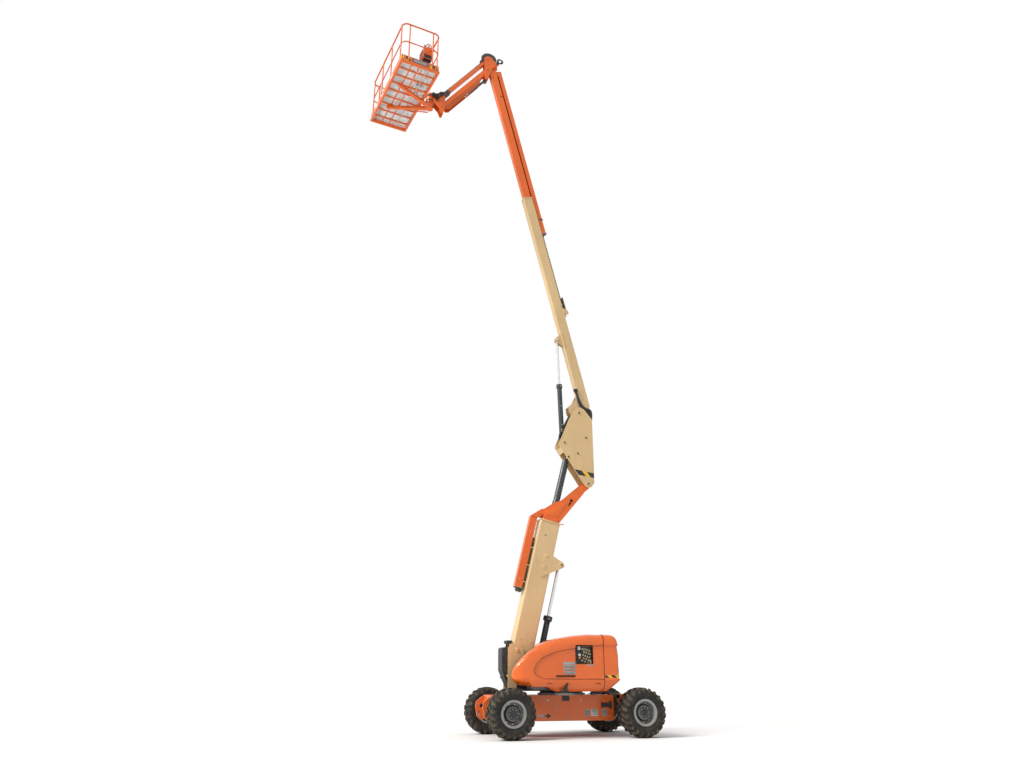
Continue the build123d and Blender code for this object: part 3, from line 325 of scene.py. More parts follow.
class Work:
    """One piece in the making: shapes in metres, each with its own finish."""

    def __init__(self, name, place=PLAIN):
        self.name = name
        self.shape = bmesh.new()
        self.finishes = []
        self.place = place

    def coat(self, finish):
        if finish not in self.finishes:
            self.finishes.append(finish)
        return self.finishes.index(finish)

    def faces(self, points, faces, finish, place=PLAIN):
        """Adds faces between points, and returns them."""
        where = self.place @ place
        corners = [self.shape.verts.new(where @ Vector(point)) for point in points]
        index = self.coat(finish)
        made = []
        for face in faces:
            new = self.shape.faces.new([corners[i] for i in face])
            new.material_index = index
            made.append(new)
        return made

    def soften(self, made, width, steps=2):
        edges = list({edge for face in made for edge in face.edges})
        bmesh.ops.bevel(
            self.shape, geom=edges, offset=width, segments=steps, profile=0.5, affect="EDGES", clamp_overlap=True
        )

    def box(self, low, high, finish, place=PLAIN, bevel=0.0, steps=2):
        x0, y0, z0 = (min(a, b) for a, b in zip(low, high))
        x1, y1, z1 = (max(a, b) for a, b in zip(low, high))
        points = [(x, y, z) for x in (x0, x1) for y in (y0, y1) for z in (z0, z1)]
        made = self.faces(points, BOX_FACES, finish, place)
        if bevel:
            self.soften(made, bevel, steps)

    def plate(self, outline, low, high, finish, place=PLAIN, bevel=0.0, steps=2):
        """Flat plate: an outline of (x, z) points between two values of y."""
        area = sum(a[0] * b[1] - b[0] * a[1] for a, b in zip(outline, outline[1:] + outline[:1]))
        if area < 0:
            outline = outline[::-1]
        count = len(outline)
        low, high = min(low, high), max(low, high)
        points = [(x, low, z) for x, z in outline] + [(x, high, z) for x, z in outline]
        sides = [tuple(range(count)), tuple(range(2 * count - 1, count - 1, -1))]
        sides += [(i, i + count, (i + 1) % count + count, (i + 1) % count) for i in range(count)]
        made = self.faces(points, sides, finish, place)
        if bevel:
            self.soften(made, bevel, steps)

    def lathe(self, profile, place, finish, sides=32, closed=True):
        """Shape turned about its place's Z from (radius, height) points."""
        points, rings = [], []
        for radius, height in profile:
            if radius < 1e-6:
                rings.append([len(points)])
                points.append((0, 0, height))
            else:
                rings.append(list(range(len(points), len(points) + sides)))
                for i in range(sides):
                    turn = 2 * math.pi * i / sides
                    points.append((radius * math.cos(turn), radius * math.sin(turn), height))
        joins = list(zip(rings, rings[1:]))
        if closed:
            joins.append((rings[-1], rings[0]))
        made = []
        for a, b in joins:
            if len(a) == 1 and len(b) == 1:
                continue
            for i in range(sides):
                j = (i + 1) % sides
                if len(a) == 1:
                    made.append((a[0], b[j], b[i]))
                elif len(b) == 1:
                    made.append((a[i], a[j], b[0]))
                else:
                    made.append((a[i], a[j], b[j], b[i]))
        self.faces(points, made, finish, place)

    def rod(self, start, end, radius, finish, sides=20, place=PLAIN, edge=0.0):
        start, end = Vector(start), Vector(end)
        run = end - start
        where = aimed(place, start, run)
        edge = edge or min(0.12 * radius, 0.004)
        profile = (
            (0, 0), (radius - edge, 0), (radius, edge), (radius, run.length - edge), (radius - edge, run.length),
            (0, run.length),
        )
        self.lathe(profile, where, finish, sides, closed=False)

    def bolt(self, at, towards, size, finish, place=PLAIN):
        """Hexagon head on a washer."""
        where = aimed(place, Vector(at), Vector(towards).normalized())
        self.lathe(((0, 0), (1.15 * size, 0), (1.15 * size, 0.14 * size), (0, 0.14 * size)), where, finish, 16, False)
        self.lathe(
            ((0, 0.1 * size), (size, 0.1 * size), (size, 0.75 * size), (0.86 * size, 0.85 * size), (0, 0.85 * size)),
            where, finish, 6, False,
        )

    def pipe(self, points, radius, finish, sides=10, place=PLAIN, smooth=True, per=6):
        """Hose, cable or bent tube that runs through points."""
        line = [place @ Vector(point) for point in points]
        if smooth and len(line) > 2:
            line = through(line, per)
        sections, normal = [], None
        for i, point in enumerate(line):
            ahead = line[min(i + 1, len(line) - 1)] - line[max(i - 1, 0)]
            ahead.normalize()
            if normal is None:
                normal = ahead.orthogonal().normalized()
            else:
                normal = (normal - ahead * normal.dot(ahead)).normalized()
            other = ahead.cross(normal)
            sections.append([
                point + radius * (math.cos(t) * normal + math.sin(t) * other)
                for t in (2 * math.pi * k / sides for k in range(sides))
            ])
        made = [tuple(range(sides))[::-1]]
        for i in range(len(sections) - 1):
            for k in range(sides):
                a, b = i * sides + k, i * sides + (k + 1) % sides
                made.append((a, b, b + sides, a + sides))
        last = (len(sections) - 1) * sides
        made.append(tuple(range(last, last + sides)))
        self.faces([p for section in sections for p in section], made, finish)

    def skin(self, way):
        """Turns the faces, on the whole, towards a way and thickens them into a moulded skin."""
        bmesh.ops.recalc_face_normals(self.shape, faces=self.shape.faces)
        facing = sum(face.normal.dot(way) * face.calc_area() for face in self.shape.faces)
        if facing < 0:
            bmesh.ops.reverse_faces(self.shape, faces=self.shape.faces)
        self.shape.normal_update()
        bmesh.ops.solidify(self.shape, geom=self.shape.faces[:], thickness=SHELL)

    def take(self, mesh, finish, place=PLAIN):
        """Adds a finished mesh, such as one that Geometry Nodes made."""
        mesh.transform(self.place @ place)
        before = len(self.shape.faces)
        self.shape.from_mesh(mesh)
        index = self.coat(finish)
        self.shape.faces.ensure_lookup_table()
        for face in self.shape.faces[before:]:
            face.material_index = index

    def done(self, body=None, replaces=(), sharp=32):
        """Turns the work into an object, which rides on a body where one is named."""
        mesh = bpy.data.meshes.new(self.name)
        bmesh.ops.recalc_face_normals(self.shape, faces=self.shape.faces)
        self.shape.to_mesh(mesh)
        self.shape.free()
        mesh.shade_smooth()
        mesh.set_sharp_from_angle(angle=math.radians(sharp))
        for finish in self.finishes:
            mesh.materials.append(bpy.data.materials[finish])
        piece = bpy.data.objects.new(self.name, mesh)
        bpy.context.scene.collection.objects.link(piece)
        if body:
            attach(piece, body)
        if replaces:
            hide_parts(*replaces)
        return piece


def through(points, per):
    """Smooth run through the points."""
    ends = [2 * points[0] - points[1], *points, 2 * points[-1] - points[-2]]
    run = []
    for a, b, c, d in zip(ends, ends[1:], ends[2:], ends[3:]):
        for k in range(per):
            t = k / per
            run.append(
                0.5 * (2 * b + (c - a) * t + (2 * a - 5 * b + 4 * c - d) * t * t + (3 * b - a - 3 * c + d) * t ** 3)
            )
    run.append(points[-1])
    return run


# ------------------------------------------------------------------------------------------------ repeats


def new_tree(name, inputs):
    """Node tree with a geometry input and named inputs of (name, kind, value)."""
    tree = bpy.data.node_groups.new(name, "GeometryNodeTree")
    tree.interface.new_socket("Geometry", in_out="INPUT", socket_type="NodeSocketGeometry")
    for title, kind, value in inputs:
        socket = tree.interface.new_socket(title, in_out="INPUT", socket_type=kind)
        if value is not None:
            socket.default_value = value
    tree.interface.new_socket("Geometry", in_out="OUTPUT", socket_type="NodeSocketGeometry")
    return tree, tree.nodes.new("NodeGroupInput"), tree.nodes.new("NodeGroupOutput")


def close_tree(tree, source, sink, geometry):
    """Ends a tree in Realize Instances and Set Material."""
    link = tree.links.new
    real = tree.nodes.new("GeometryNodeRealizeInstances")
    link(geometry, real.inputs[0])
    coat = tree.nodes.new("GeometryNodeSetMaterial")
    link(real.outputs[0], coat.inputs["Geometry"])
    link(source.outputs["Finish"], coat.inputs["Material"])
    link(coat.outputs[0], sink.inputs[0])


def ring_tree():
    """Copies of the input about the Y axis of a centre."""
    tree, source, sink = new_tree("Ring", (
        ("Count", "NodeSocketInt", 8),
        ("Centre", "NodeSocketVector", (0, 0, 0)),
        ("Axis", "NodeSocketVector", (0, 1, 0)),
        ("Start", "NodeSocketFloat", 0.0),
        ("Finish", "NodeSocketMaterial", None),
    ))
    link = tree.links.new
    line = tree.nodes.new("GeometryNodeMeshLine")
    line.inputs["Offset"].default_value = (0, 0, 0)
    link(source.outputs["Count"], line.inputs["Count"])
    link(source.outputs["Centre"], line.inputs["Start Location"])
    index = tree.nodes.new("GeometryNodeInputIndex")
    step = tree.nodes.new("ShaderNodeMath")
    step.operation = "DIVIDE"
    step.inputs[0].default_value = 2 * math.pi
    link(source.outputs["Count"], step.inputs[1])
    turn = tree.nodes.new("ShaderNodeMath")
    turn.operation = "MULTIPLY_ADD"
    link(index.outputs[0], turn.inputs[0])
    link(step.outputs[0], turn.inputs[1])
    link(source.outputs["Start"], turn.inputs[2])
    rotation = tree.nodes.new("FunctionNodeAxisAngleToRotation")
    link(source.outputs["Axis"], rotation.inputs["Axis"])
    link(turn.outputs[0], rotation.inputs["Angle"])
    copies = tree.nodes.new("GeometryNodeInstanceOnPoints")
    link(line.outputs[0], copies.inputs["Points"])
    link(source.outputs["Geometry"], copies.inputs["Instance"])
    link(rotation.outputs[0], copies.inputs["Rotation"])
    close_tree(tree, source, sink, copies.outputs[0])
    return tree


def row_tree():
    """Copies of the input in rows and columns."""
    tree, source, sink = new_tree("Row", (
        ("Count", "NodeSocketInt", 4),
        ("Step", "NodeSocketVector", (0.1, 0, 0)),
        ("Columns", "NodeSocketInt", 1),
        ("Column step", "NodeSocketVector", (0, 0, 0)),
        ("Finish", "NodeSocketMaterial", None),
    ))
    link = tree.links.new
    made = source.outputs["Geometry"]
    for count, step in (("Count", "Step"), ("Columns", "Column step")):
        line = tree.nodes.new("GeometryNodeMeshLine")
        link(source.outputs[count], line.inputs["Count"])
        link(source.outputs[step], line.inputs["Offset"])
        copies = tree.nodes.new("GeometryNodeInstanceOnPoints")
        link(line.outputs[0], copies.inputs["Points"])
        link(made, copies.inputs["Instance"])
        made = copies.outputs[0]
    close_tree(tree, source, sink, made)
    return tree


def path_tree():
    """Copies of the input along a run of points, each turned to face along it."""
    tree, source, sink = new_tree("Path", (
        ("Run", "NodeSocketObject", None),
        ("Count", "NodeSocketInt", 10),
        ("Finish", "NodeSocketMaterial", None),
    ))
    link = tree.links.new
    info = tree.nodes.new("GeometryNodeObjectInfo")
    link(source.outputs["Run"], info.inputs["Object"])
    points = tree.nodes.new("GeometryNodeCurveToPoints")
    points.mode = "COUNT"
    link(info.outputs["Geometry"], points.inputs["Curve"])
    link(source.outputs["Count"], points.inputs["Count"])
    copies = tree.nodes.new("GeometryNodeInstanceOnPoints")
    link(points.outputs["Points"], copies.inputs["Points"])
    link(source.outputs["Geometry"], copies.inputs["Instance"])
    aim = tree.nodes.new("FunctionNodeAlignRotationToVector")
    aim.axis = "X"
    aim.pivot_axis = "Y"
    link(points.outputs["Tangent"], aim.inputs["Vector"])
    link(aim.outputs[0], copies.inputs["Rotation"])
    close_tree(tree, source, sink, copies.outputs[0])
    return tree


def repeat(work, tree, finish, **values):
    """Runs a tree on a work's shape and gives back the plain mesh."""
    mesh = bpy.data.meshes.new(work.name)
    work.shape.to_mesh(mesh)
    work.shape.free()
    seed = bpy.data.objects.new(work.name, mesh)
    bpy.context.scene.collection.objects.link(seed)
    modifier = seed.modifiers.new("Repeat", "NODES")
    modifier.node_group = tree
    values["Finish"] = bpy.data.materials[finish]
    for socket in tree.interface.items_tree:
        name = socket.name.replace(" ", "_")
        if socket.in_out == "INPUT" and name in values:
            modifier[socket.identifier] = values[name]
    seen = seed.evaluated_get(bpy.context.evaluated_depsgraph_get())
    made = bpy.data.meshes.new_from_object(seen)
    bpy.data.objects.remove(seed)
    return made


# ------------------------------------------------------------------------------------------------ pieces


def between(value, table):
    """Straight-line reading of a table of (position, reading) pairs."""
    if value <= table[0][0]:
        return table[0][1]
    for (a, low), (b, high) in zip(table, table[1:]):
        if value <= b:
            return low + (high - low) * (value - a) / (b - a)
    return table[-1][1]


def ease(value):
    value = min(1.0, max(0.0, value))
    return value * value * (3 - 2 * value)


def spread(low, high, count):
    return [low + (high - low) * i / (count - 1) for i in range(count)]


def grid_faces(rows, columns):
    """Quads of a grid whose points run row by row."""
    return [
        (r * columns + c, r * columns + c + 1, (r + 1) * columns + c + 1, (r + 1) * columns + c)
        for r in range(rows - 1) for c in range(columns - 1)
    ]


def depth_inside(x, z, outline):
    """Distance from a point to an outline, and 0 outside it."""
    inside, nearest = False, 1e9
    for (x0, z0), (x1, z1) in zip(outline, outline[1:] + outline[:1]):
        if (z0 > z) != (z1 > z) and x < x0 + (z - z0) * (x1 - x0) / (z1 - z0):
            inside = not inside
        run = Vector((x1 - x0, z1 - z0))
        t = min(1.0, max(0.0, ((x - x0) * run.x + (z - z0) * run.y) / run.length_squared))
        nearest = min(nearest, math.hypot(x0 + t * run.x - x, z0 + t * run.y - z))
    return nearest if inside else 0.0


CAD_FINISHES = {
    "orange_enamel": (
        "chassis_frame", "main_fly", "main_push_tube", "tower_fly", "tower_push_tube", "jib_head", "jib_arm",
        "jib_link", "platform_support", "platform_mount", "hydraulic_tank",
    ),
    "rail_enamel": ("rails_outer", "rails_inner", "rails_near_end", "rails_far_end", "platform_gate"),
    "orange_hood": ("hood_left", "hood_right", "tail_cover_left", "tail_cover_right"),
    "tan_enamel": ("tower_base", "tower_feet", "upright", "main_base"),
    "black_casting": (
        "drive_axle", "steer_axle", "knuckle_left", "knuckle_right", "turntable_deck", "counterweight",
        "front_weight",
    ),
    "slate_paint": ("tower_cylinder_barrel", "level_cylinder_barrel", "main_cylinder_barrel", "jib_cylinder_barrel"),
    "chrome": ("tower_cylinder_rod", "level_cylinder_rod", "main_cylinder_rod", "jib_cylinder_rod"),
    "olive_plastic": ("tower_hose_carrier", "main_hose_carrier"),
    "silver_paint": ("drive_left_rim", "drive_right_rim", "steer_left_rim", "steer_right_rim"),
    "gear_steel": ("slew_ring",), "engine_grey": ("engine_block",), "panel_black": ("ground_control",),
    "console_orange": ("platform_console",), "floor_mesh": ("platform_floor",),
    "tyre_black": ("drive_left_tyre", "drive_right_tyre", "steer_left_tyre", "steer_right_tyre"),
}


class LIFT_OT_finishes(bpy.types.Operator):
    """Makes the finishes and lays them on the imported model's own nodes"""

    bl_idname = "lift.finishes"
    bl_label = "Finishes"

    def execute(self, context):
        colours = context.scene.lift_colours
        orange, tan, black, yellow = (tuple(c) for c in (colours.orange, colours.tan, colours.black, colours.yellow))
        stripe = context.scene.lift_sizes.stripe_width
        paint("orange_enamel", orange, 0.34, 0.3, 0.22)
        paint("orange_hood", orange, 0.24, 0.55, 0.14, 0.03)
        paint("rail_enamel", orange, 0.38, 0.2, 0.1)
        paint("console_orange", orange, 0.4, 0.2, 0.2)
        # Lighter copy of the orange: painted highlight on the strips along the jib arm's edges
        paint("orange_bright", tint(orange, 1.15)[:3], 0.3, 0.3, 0.05)
        # Darker copy of the orange: painted shade on the skirt under the jib arm
        paint("orange_shade", tint(orange, 0.72)[:3], 0.4, 0.2, 0.2)
        paint("tan_enamel", tan, 0.36, 0.25, 0.2)
        paint("tank_grey", (0.16, 0.165, 0.17), 0.45, 0.1, 0.2)
        paint("silver_paint", (0.30, 0.31, 0.30), 0.42, 0.1, 0.45)
        paint("slate_paint", (0.022, 0.032, 0.038), 0.36, 0.25, 0.1)
        cast_black("black_casting", black)
        cast_black("black_bracket", (0.01, 0.011, 0.012), 0.5)
        # Lighter grey for the front weight's body: painted light, beside the black sheets of painted shade on its
        # sides
        cast_black("weight_grey", (0.030, 0.032, 0.034), 0.55)
        plastic("hose_black", (0.011, 0.011, 0.012), 0.5)
        # Dark copy of the orange: painted shade in lines along the hoods' sunk panels, on the hood side and at the
        # joint of the covers
        plastic("seam_dark", (0.10, 0.018, 0.004), 0.7)
        plastic("plate_slate", (0.05, 0.06, 0.075), 0.5, 0.02)
        plastic("olive_plastic", (0.075, 0.072, 0.03), 0.55, 0.25)
        plastic("panel_black", (0.012, 0.012, 0.013), 0.5)
        plastic("engine_grey", (0.10, 0.105, 0.11), 0.55)
        plastic("plate_grey", (0.36, 0.36, 0.36), 0.5, 0.02)
        plastic("plate_white", (0.72, 0.71, 0.68), 0.5, 0.02)
        plastic("plate_green", (0.10, 0.27, 0.12), 0.5, 0.02)
        plastic("plate_yellow", yellow, 0.5, 0.02)
        plastic("red_knob", (0.6, 0.02, 0.015), 0.35, 0.02)
        bare_metal("chrome", (0.76, 0.77, 0.78), 0.14, (1, 1, 1))
        bare_metal("zinc", (0.52, 0.51, 0.47), 0.36)
        bare_metal("gear_steel", (0.20, 0.19, 0.18), 0.5)
        rubber("tyre_black", (0.010, 0.010, 0.010), 0.10)
        rubber("tread_dusty", (0.014, 0.0125, 0.011), 0.42)
        plastic("floor_mesh", (0.95, 0.20, 0.06), 0.5)
        stripes("stripes_hood", (0.012, 0.012, 0.012), yellow, 1.5 * stripe, (1, 0, 1))
        stripes("stripes_toe", (0.012, 0.012, 0.012), yellow, 1.9 * stripe, (0.8, 0.8, 1))
        for finish, nodes in CAD_FINISHES.items():
            for name in nodes:
                mesh = frame["nodes"][name].data
                mesh.materials.clear()
                mesh.materials.append(bpy.data.materials[finish])
        return {"FINISHED"}


# Where the camera stands and looks, which way the sun shines, and how far the floor runs
CAMERA_AT = (-5.203, -14.919, 0.998)
CAMERA_YAW, CAMERA_PITCH = math.radians(15.888), math.radians(20.568)
CAMERA_LENS = 27.535
SUN_WAY, SUN_STRENGTH, SUN_SPREAD = (0.74, 0.23, -0.63), 3.0, math.radians(26)
SKY_STRENGTH = 0.46
FLOOR_REACH = 400


class LIFT_OT_stage(bpy.types.Operator):
    """Sets the camera, the floor, the sky light and the sun"""

    bl_idname = "lift.stage"
    bl_label = "Stage"

    def execute(self, context):
        scene = context.scene
        lens = bpy.data.cameras.new("camera")
        lens.lens, lens.sensor_width = CAMERA_LENS, 36
        camera = bpy.data.objects.new("camera", lens)
        scene.collection.objects.link(camera)
        yaw, pitch = CAMERA_YAW, CAMERA_PITCH
        look = Vector((math.sin(yaw) * math.cos(pitch), math.cos(yaw) * math.cos(pitch), math.sin(pitch)))
        camera.location = CAMERA_AT
        camera.rotation_mode = "QUATERNION"
        camera.rotation_quaternion = look.to_track_quat("-Z", "Y")
        scene.camera = camera
        scene.view_settings.view_transform = "Standard"

        sky = bpy.data.worlds.new("sky")
        scene.world = sky
        sky.use_nodes = True
        nodes, links = sky.node_tree.nodes, sky.node_tree.links
        seen = nodes["Background"]
        seen.inputs["Color"].default_value = (1, 1, 1, 1)
        lit = nodes.new("ShaderNodeBackground")
        lit.inputs["Color"].default_value = (0.97, 0.985, 1.0, 1)
        lit.inputs["Strength"].default_value = SKY_STRENGTH
        ray = nodes.new("ShaderNodeLightPath")
        sight = ray.outputs["Is Camera Ray"]
        for kind in ("Is Transmission Ray", "Is Glossy Ray"):
            either = nodes.new("ShaderNodeMath")
            either.operation = "MAXIMUM"
            links.new(sight, either.inputs[0])
            links.new(ray.outputs[kind], either.inputs[1])
            sight = either.outputs[0]
        mix = nodes.new("ShaderNodeMixShader")
        links.new(sight, mix.inputs["Fac"])
        links.new(lit.outputs[0], mix.inputs[1])
        links.new(seen.outputs[0], mix.inputs[2])
        links.new(mix.outputs[0], nodes["World Output"].inputs["Surface"])

        lamp = bpy.data.lights.new("sun", "SUN")
        lamp.energy, lamp.angle, lamp.color = SUN_STRENGTH, SUN_SPREAD, (1.0, 0.975, 0.93)
        sun = bpy.data.objects.new("sun", lamp)
        scene.collection.objects.link(sun)
        sun.rotation_mode = "QUATERNION"
        sun.rotation_quaternion = Vector(SUN_WAY).to_track_quat("-Z", "Y")

        finish = bpy.data.materials.new("stage_floor")
        finish.use_nodes = True
        tree = finish.node_tree
        shader = tree.nodes["Principled BSDF"]
        shader.inputs["Base Color"].default_value = (0.88, 0.88, 0.88, 1)
        shader.inputs["Roughness"].default_value = 1.0
        shader.inputs["Specular IOR Level"].default_value = 0.0
        shader.inputs["Emission Color"].default_value = (1, 1, 1, 1)
        # The floor glows a little more for the camera, and less where ambient occlusion finds the machine near: a
        # painted contact shadow under and beside it
        ray = tree.nodes.new("ShaderNodeLightPath")
        bright = tree.nodes.new("ShaderNodeMath")
        bright.operation = "MULTIPLY"
        near = tree.nodes.new("ShaderNodeAmbientOcclusion")
        near.inputs["Distance"].default_value = 1.2
        near.samples = 8
        lift = tree.nodes.new("ShaderNodeMapRange")
        for name, number in (("From Min", 0.35), ("From Max", 1.0), ("To Min", 0.0), ("To Max", 0.16)):
            lift.inputs[name].default_value = number
        tree.links.new(near.outputs["AO"], lift.inputs["Value"])
        tree.links.new(ray.outputs["Is Camera Ray"], bright.inputs[0])
        tree.links.new(lift.outputs[0], bright.inputs[1])
        tree.links.new(bright.outputs[0], shader.inputs["Emission Strength"])
        mesh = bpy.data.meshes.new("stage_floor")
        far = FLOOR_REACH
        mesh.from_pydata([(-far, -far, 0), (far, -far, 0), (far, far, 0), (-far, far, 0)], [], [(0, 1, 2, 3)])
        mesh.materials.append(finish)
        floor = bpy.data.objects.new("stage_floor", mesh)
        scene.collection.objects.link(floor)
        return {"FINISHED"}


def tyre_centre(joint, side):
    """A tyre's frame: its middle plane at y = 0."""
    name = joint.replace("_spin", "_tyre")
    low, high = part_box(name)
    return Matrix.Translation((low + high) / 2) @ Matrix.Rotation(0 if side > 0 else math.pi, 4, "Z")


class LIFT_OT_tyres(bpy.types.Operator):
    """Makes the lugged tyres: a carcass, and a ring of slanted lugs on each side"""

    bl_idname = "lift.tyres"
    bl_label = "Tyres"

    def execute(self, context):
        sizes = context.scene.lift_sizes
        over, half = sizes.tyre_radius, sizes.tyre_width / 2
        carcass = (
            (0.208, 0.150), (0.226, 0.164), (0.236, 0.180), (0.246, 0.184), (0.250, 0.181), (0.285, 0.190),
            (0.291, 0.194), (0.297, 0.191), (0.335, 0.194), (over - 0.05, half - 0.012), (over - 0.034, half - 0.03),
            (over - 0.026, half - 0.09), (over - 0.024, 0),
        )
        ring = carcass + tuple((radius, -y) for radius, y in carcass[-2::-1])
        stations = (
            # y, radius at the top, radius at the foot, half length
            (0.004, over, over - 0.034, 0.019),
            (0.030, over, over - 0.034, 0.023),
            (0.110, over - 0.002, over - 0.036, 0.028),
            (0.145, over - 0.007, over - 0.045, 0.030),
            (0.168, over - 0.019, over - 0.06, 0.031),
            (0.184, over - 0.040, over - 0.075, 0.030),
            (half - 0.001, over - 0.066, over - 0.09, 0.027),
        )
        copies = ring_tree()
        for name, body, joint, side in WHEELS:
            tyre = Work(f"tyre_{name}", tyre_centre(joint, side))
            stand = OUTWARD
            tyre.lathe(ring, stand, "tyre_black", 72)
            for hand in SIDES:
                lug = Work("lug")
                points = []
                for y, top, foot, wide in stations:
                    slide = 0.42 * y
                    inset = 0.82 * wide
                    rim = top - 0.006
                    for across, radius in (
                        (-wide, foot), (-wide, rim), (-inset, top), (inset, top), (wide, rim), (wide, foot),
                    ):
                        turn = (across + slide) / over
                        points.append((radius * math.sin(turn), hand * y, radius * math.cos(turn)))
                faces = grid_faces(len(stations), 6)
                faces += [tuple(range(6)), tuple(range(6 * len(stations) - 6, 6 * len(stations)))[::-1]]
                lug.faces(points, faces, "tread_dusty")
                bmesh.ops.recalc_face_normals(lug.shape, faces=lug.shape.faces)
                start = math.pi / sizes.lug_count if hand > 0 else 0.0
                made = repeat(lug, copies, "tread_dusty", Count=sizes.lug_count, Axis=(0, 1, 0), Start=start)
                tyre.take(made, "tread_dusty")
            tyre.done(body, [f"{name}_tyre"], sharp=28)
        return {"FINISHED"}


class LIFT_OT_hubs(bpy.types.Operator):
    """Makes the hub covers, wheel nuts and valve stems"""

    bl_idname = "lift.hubs"
    bl_label = "Hubs"

    def execute(self, context):
        copies = ring_tree()
        stand = OUTWARD
        for name, body, joint, side in WHEELS:
            hub = Work(f"hub_{name}", tyre_centre(joint, side))
            hub.lathe(
                (
                    (0, 0.05), (0.142, 0.05), (0.142, 0.092), (0.134, 0.102), (0.104, 0.110), (0.098, 0.138),
                    (0.086, 0.148), (0.060, 0.151), (0.054, 0.146), (0, 0.146),
                ),
                stand, "black_casting", 48, closed=False,
            )
            nut = Work("nut")
            nut.bolt((0.162, 0.056, 0), (0, 1, 0), 0.014, "zinc")
            nut.rod((0.162, 0.066, 0), (0.162, 0.080, 0), 0.007, "zinc", 10)
            hub.take(repeat(nut, copies, "zinc", Count=9, Axis=(0, 1, 0), Start=0.2), "zinc")
            cap = Work("cap")
            cap.bolt((0.074, 0.149, 0), (0, 1, 0), 0.006, "zinc")
            hub.take(repeat(cap, copies, "zinc", Count=8, Axis=(0, 1, 0), Start=0.1), "zinc")
            hub.pipe(((0.185, 0.07, 0.02), (0.188, 0.10, 0.02), (0.180, 0.125, 0.02)), 0.005, "hose_black", 8)
            hub.done(body)
        return {"FINISHED"}


HOOD_NOSE = (
    (0, 1.05), (0.008, 1.10), (0.025, 1.145), (0.07, 1.222), (0.12, 1.282), (0.18, 1.335), (0.32, 1.447),
    (0.5, 1.548),
)
HOOD_CROWN = ((0, 1.548), (0.21, 1.615), (0.47, 1.68), (0.74, 1.722), (1, 1.745))
HOOD_FOOT = (
    (0, 1.05), (0.008, 0.995), (0.02, 0.96), (0.07, 0.905), (0.13, 0.88), (0.18, 0.868), (0.32, 0.858), (0.37, 0.79),
    (0.42, 0.776), (0.52, 0.770),
)
HOOD_LOWER = (
    # share of the height over the foot, distance in from the widest line
    (0.21, 0.002), (0.165, 0.010), (0.125, 0.022), (0.10, 0.034), (0.088, 0.044), (0.078, 0.054), (0.066, 0.066),
    (0.036, 0.10), (0.016, 0.14), (0, 0.20),
)
HOOD_TAIL, HOOD_HALF, HOOD_INSIDE = 0.48, 1.0, 0.335
# The foot rises from here, over this run, to this height, which is clear of a steered tyre
RISE_FROM, RISE_RUN, OVER_TYRES = -0.36, 0.26, 0.849
RECESS = 0.018  # depth of the sunk panels in the hoods and the tail covers
# The window in the right hood, from x to x and from z to z
WINDOW = (-0.052, 0.272, 1.238, 1.552)


def recess_of(tip):
    """The sunk panel in a hood's side, whose front end follows the hood's tip."""
    nose = ((0.415, 1.075), (0.418, 1.132), (0.45, 1.214), (0.52, 1.29), (0.636, 1.353), (0.885, 1.438))
    heel = ((0.70, 0.983), (0.56, 1.0), (0.47, 1.03))
    back = ((-0.05, 1.491), (0.29, 1.53), (0.6, 1.555), (0.6, 0.975))
    return [(tip + x, z) for x, z in nose] + list(back) + [(tip + x, z) for x, z in heel]


def hood_section(x, tip, recess):
    """Points across the left hood at one x, from its inner edge over the top to its foot."""
    ahead = x - tip
    top = between(ahead, HOOD_NOSE) if ahead < 0.5 else between((ahead - 0.5) / (0.21 - tip - 0.5), HOOD_CROWN)
    foot = between(ahead, HOOD_FOOT)
    half = HOOD_HALF
    if ahead < 0.42:
        half -= 0.19 * (1 - math.sqrt(1 - (1 - ahead / 0.42) ** 2))
    tall = top - foot
    k = min(1.0, tall / 0.9)
    inner = max(foot, top - 0.12 - 0.9 * ease((tip + 0.37 - x) / 0.08))
    crown = [
        (HOOD_INSIDE, inner), (HOOD_INSIDE, top - 0.012 * k), (HOOD_INSIDE + 0.012, top), (half - 0.30, top),
        (half - 0.15, top - 0.006 * k), (half - 0.075, top - 0.028 * k), (half - 0.03, top - 0.072 * k),
        (half - 0.010, top - 0.15 * k), (half - 0.002, top - 0.26 * k),
    ]
    side = [(half, z) for z in spread(top - 0.30 * k, foot + 0.24 * k, 44)]
    lower = []
    for share, inward in HOOD_LOWER:
        y, z = half - inward, foot + share * k
        if x < RISE_FROM:
            z += max(0.0, OVER_TYRES - z) * ease((RISE_FROM - x) / RISE_RUN)
        lower.append((y, z))
    points = []
    for y, z in crown + side + lower:
        sunk = ease(depth_inside(x, z, recess) / 0.02) if y > half - 0.02 else 0.0
        back = 0.283 * (1 - y) * ease((tip + 0.9 - x) / 0.5)
        points.append((x + back, y - RECESS * sunk, z))
    return points


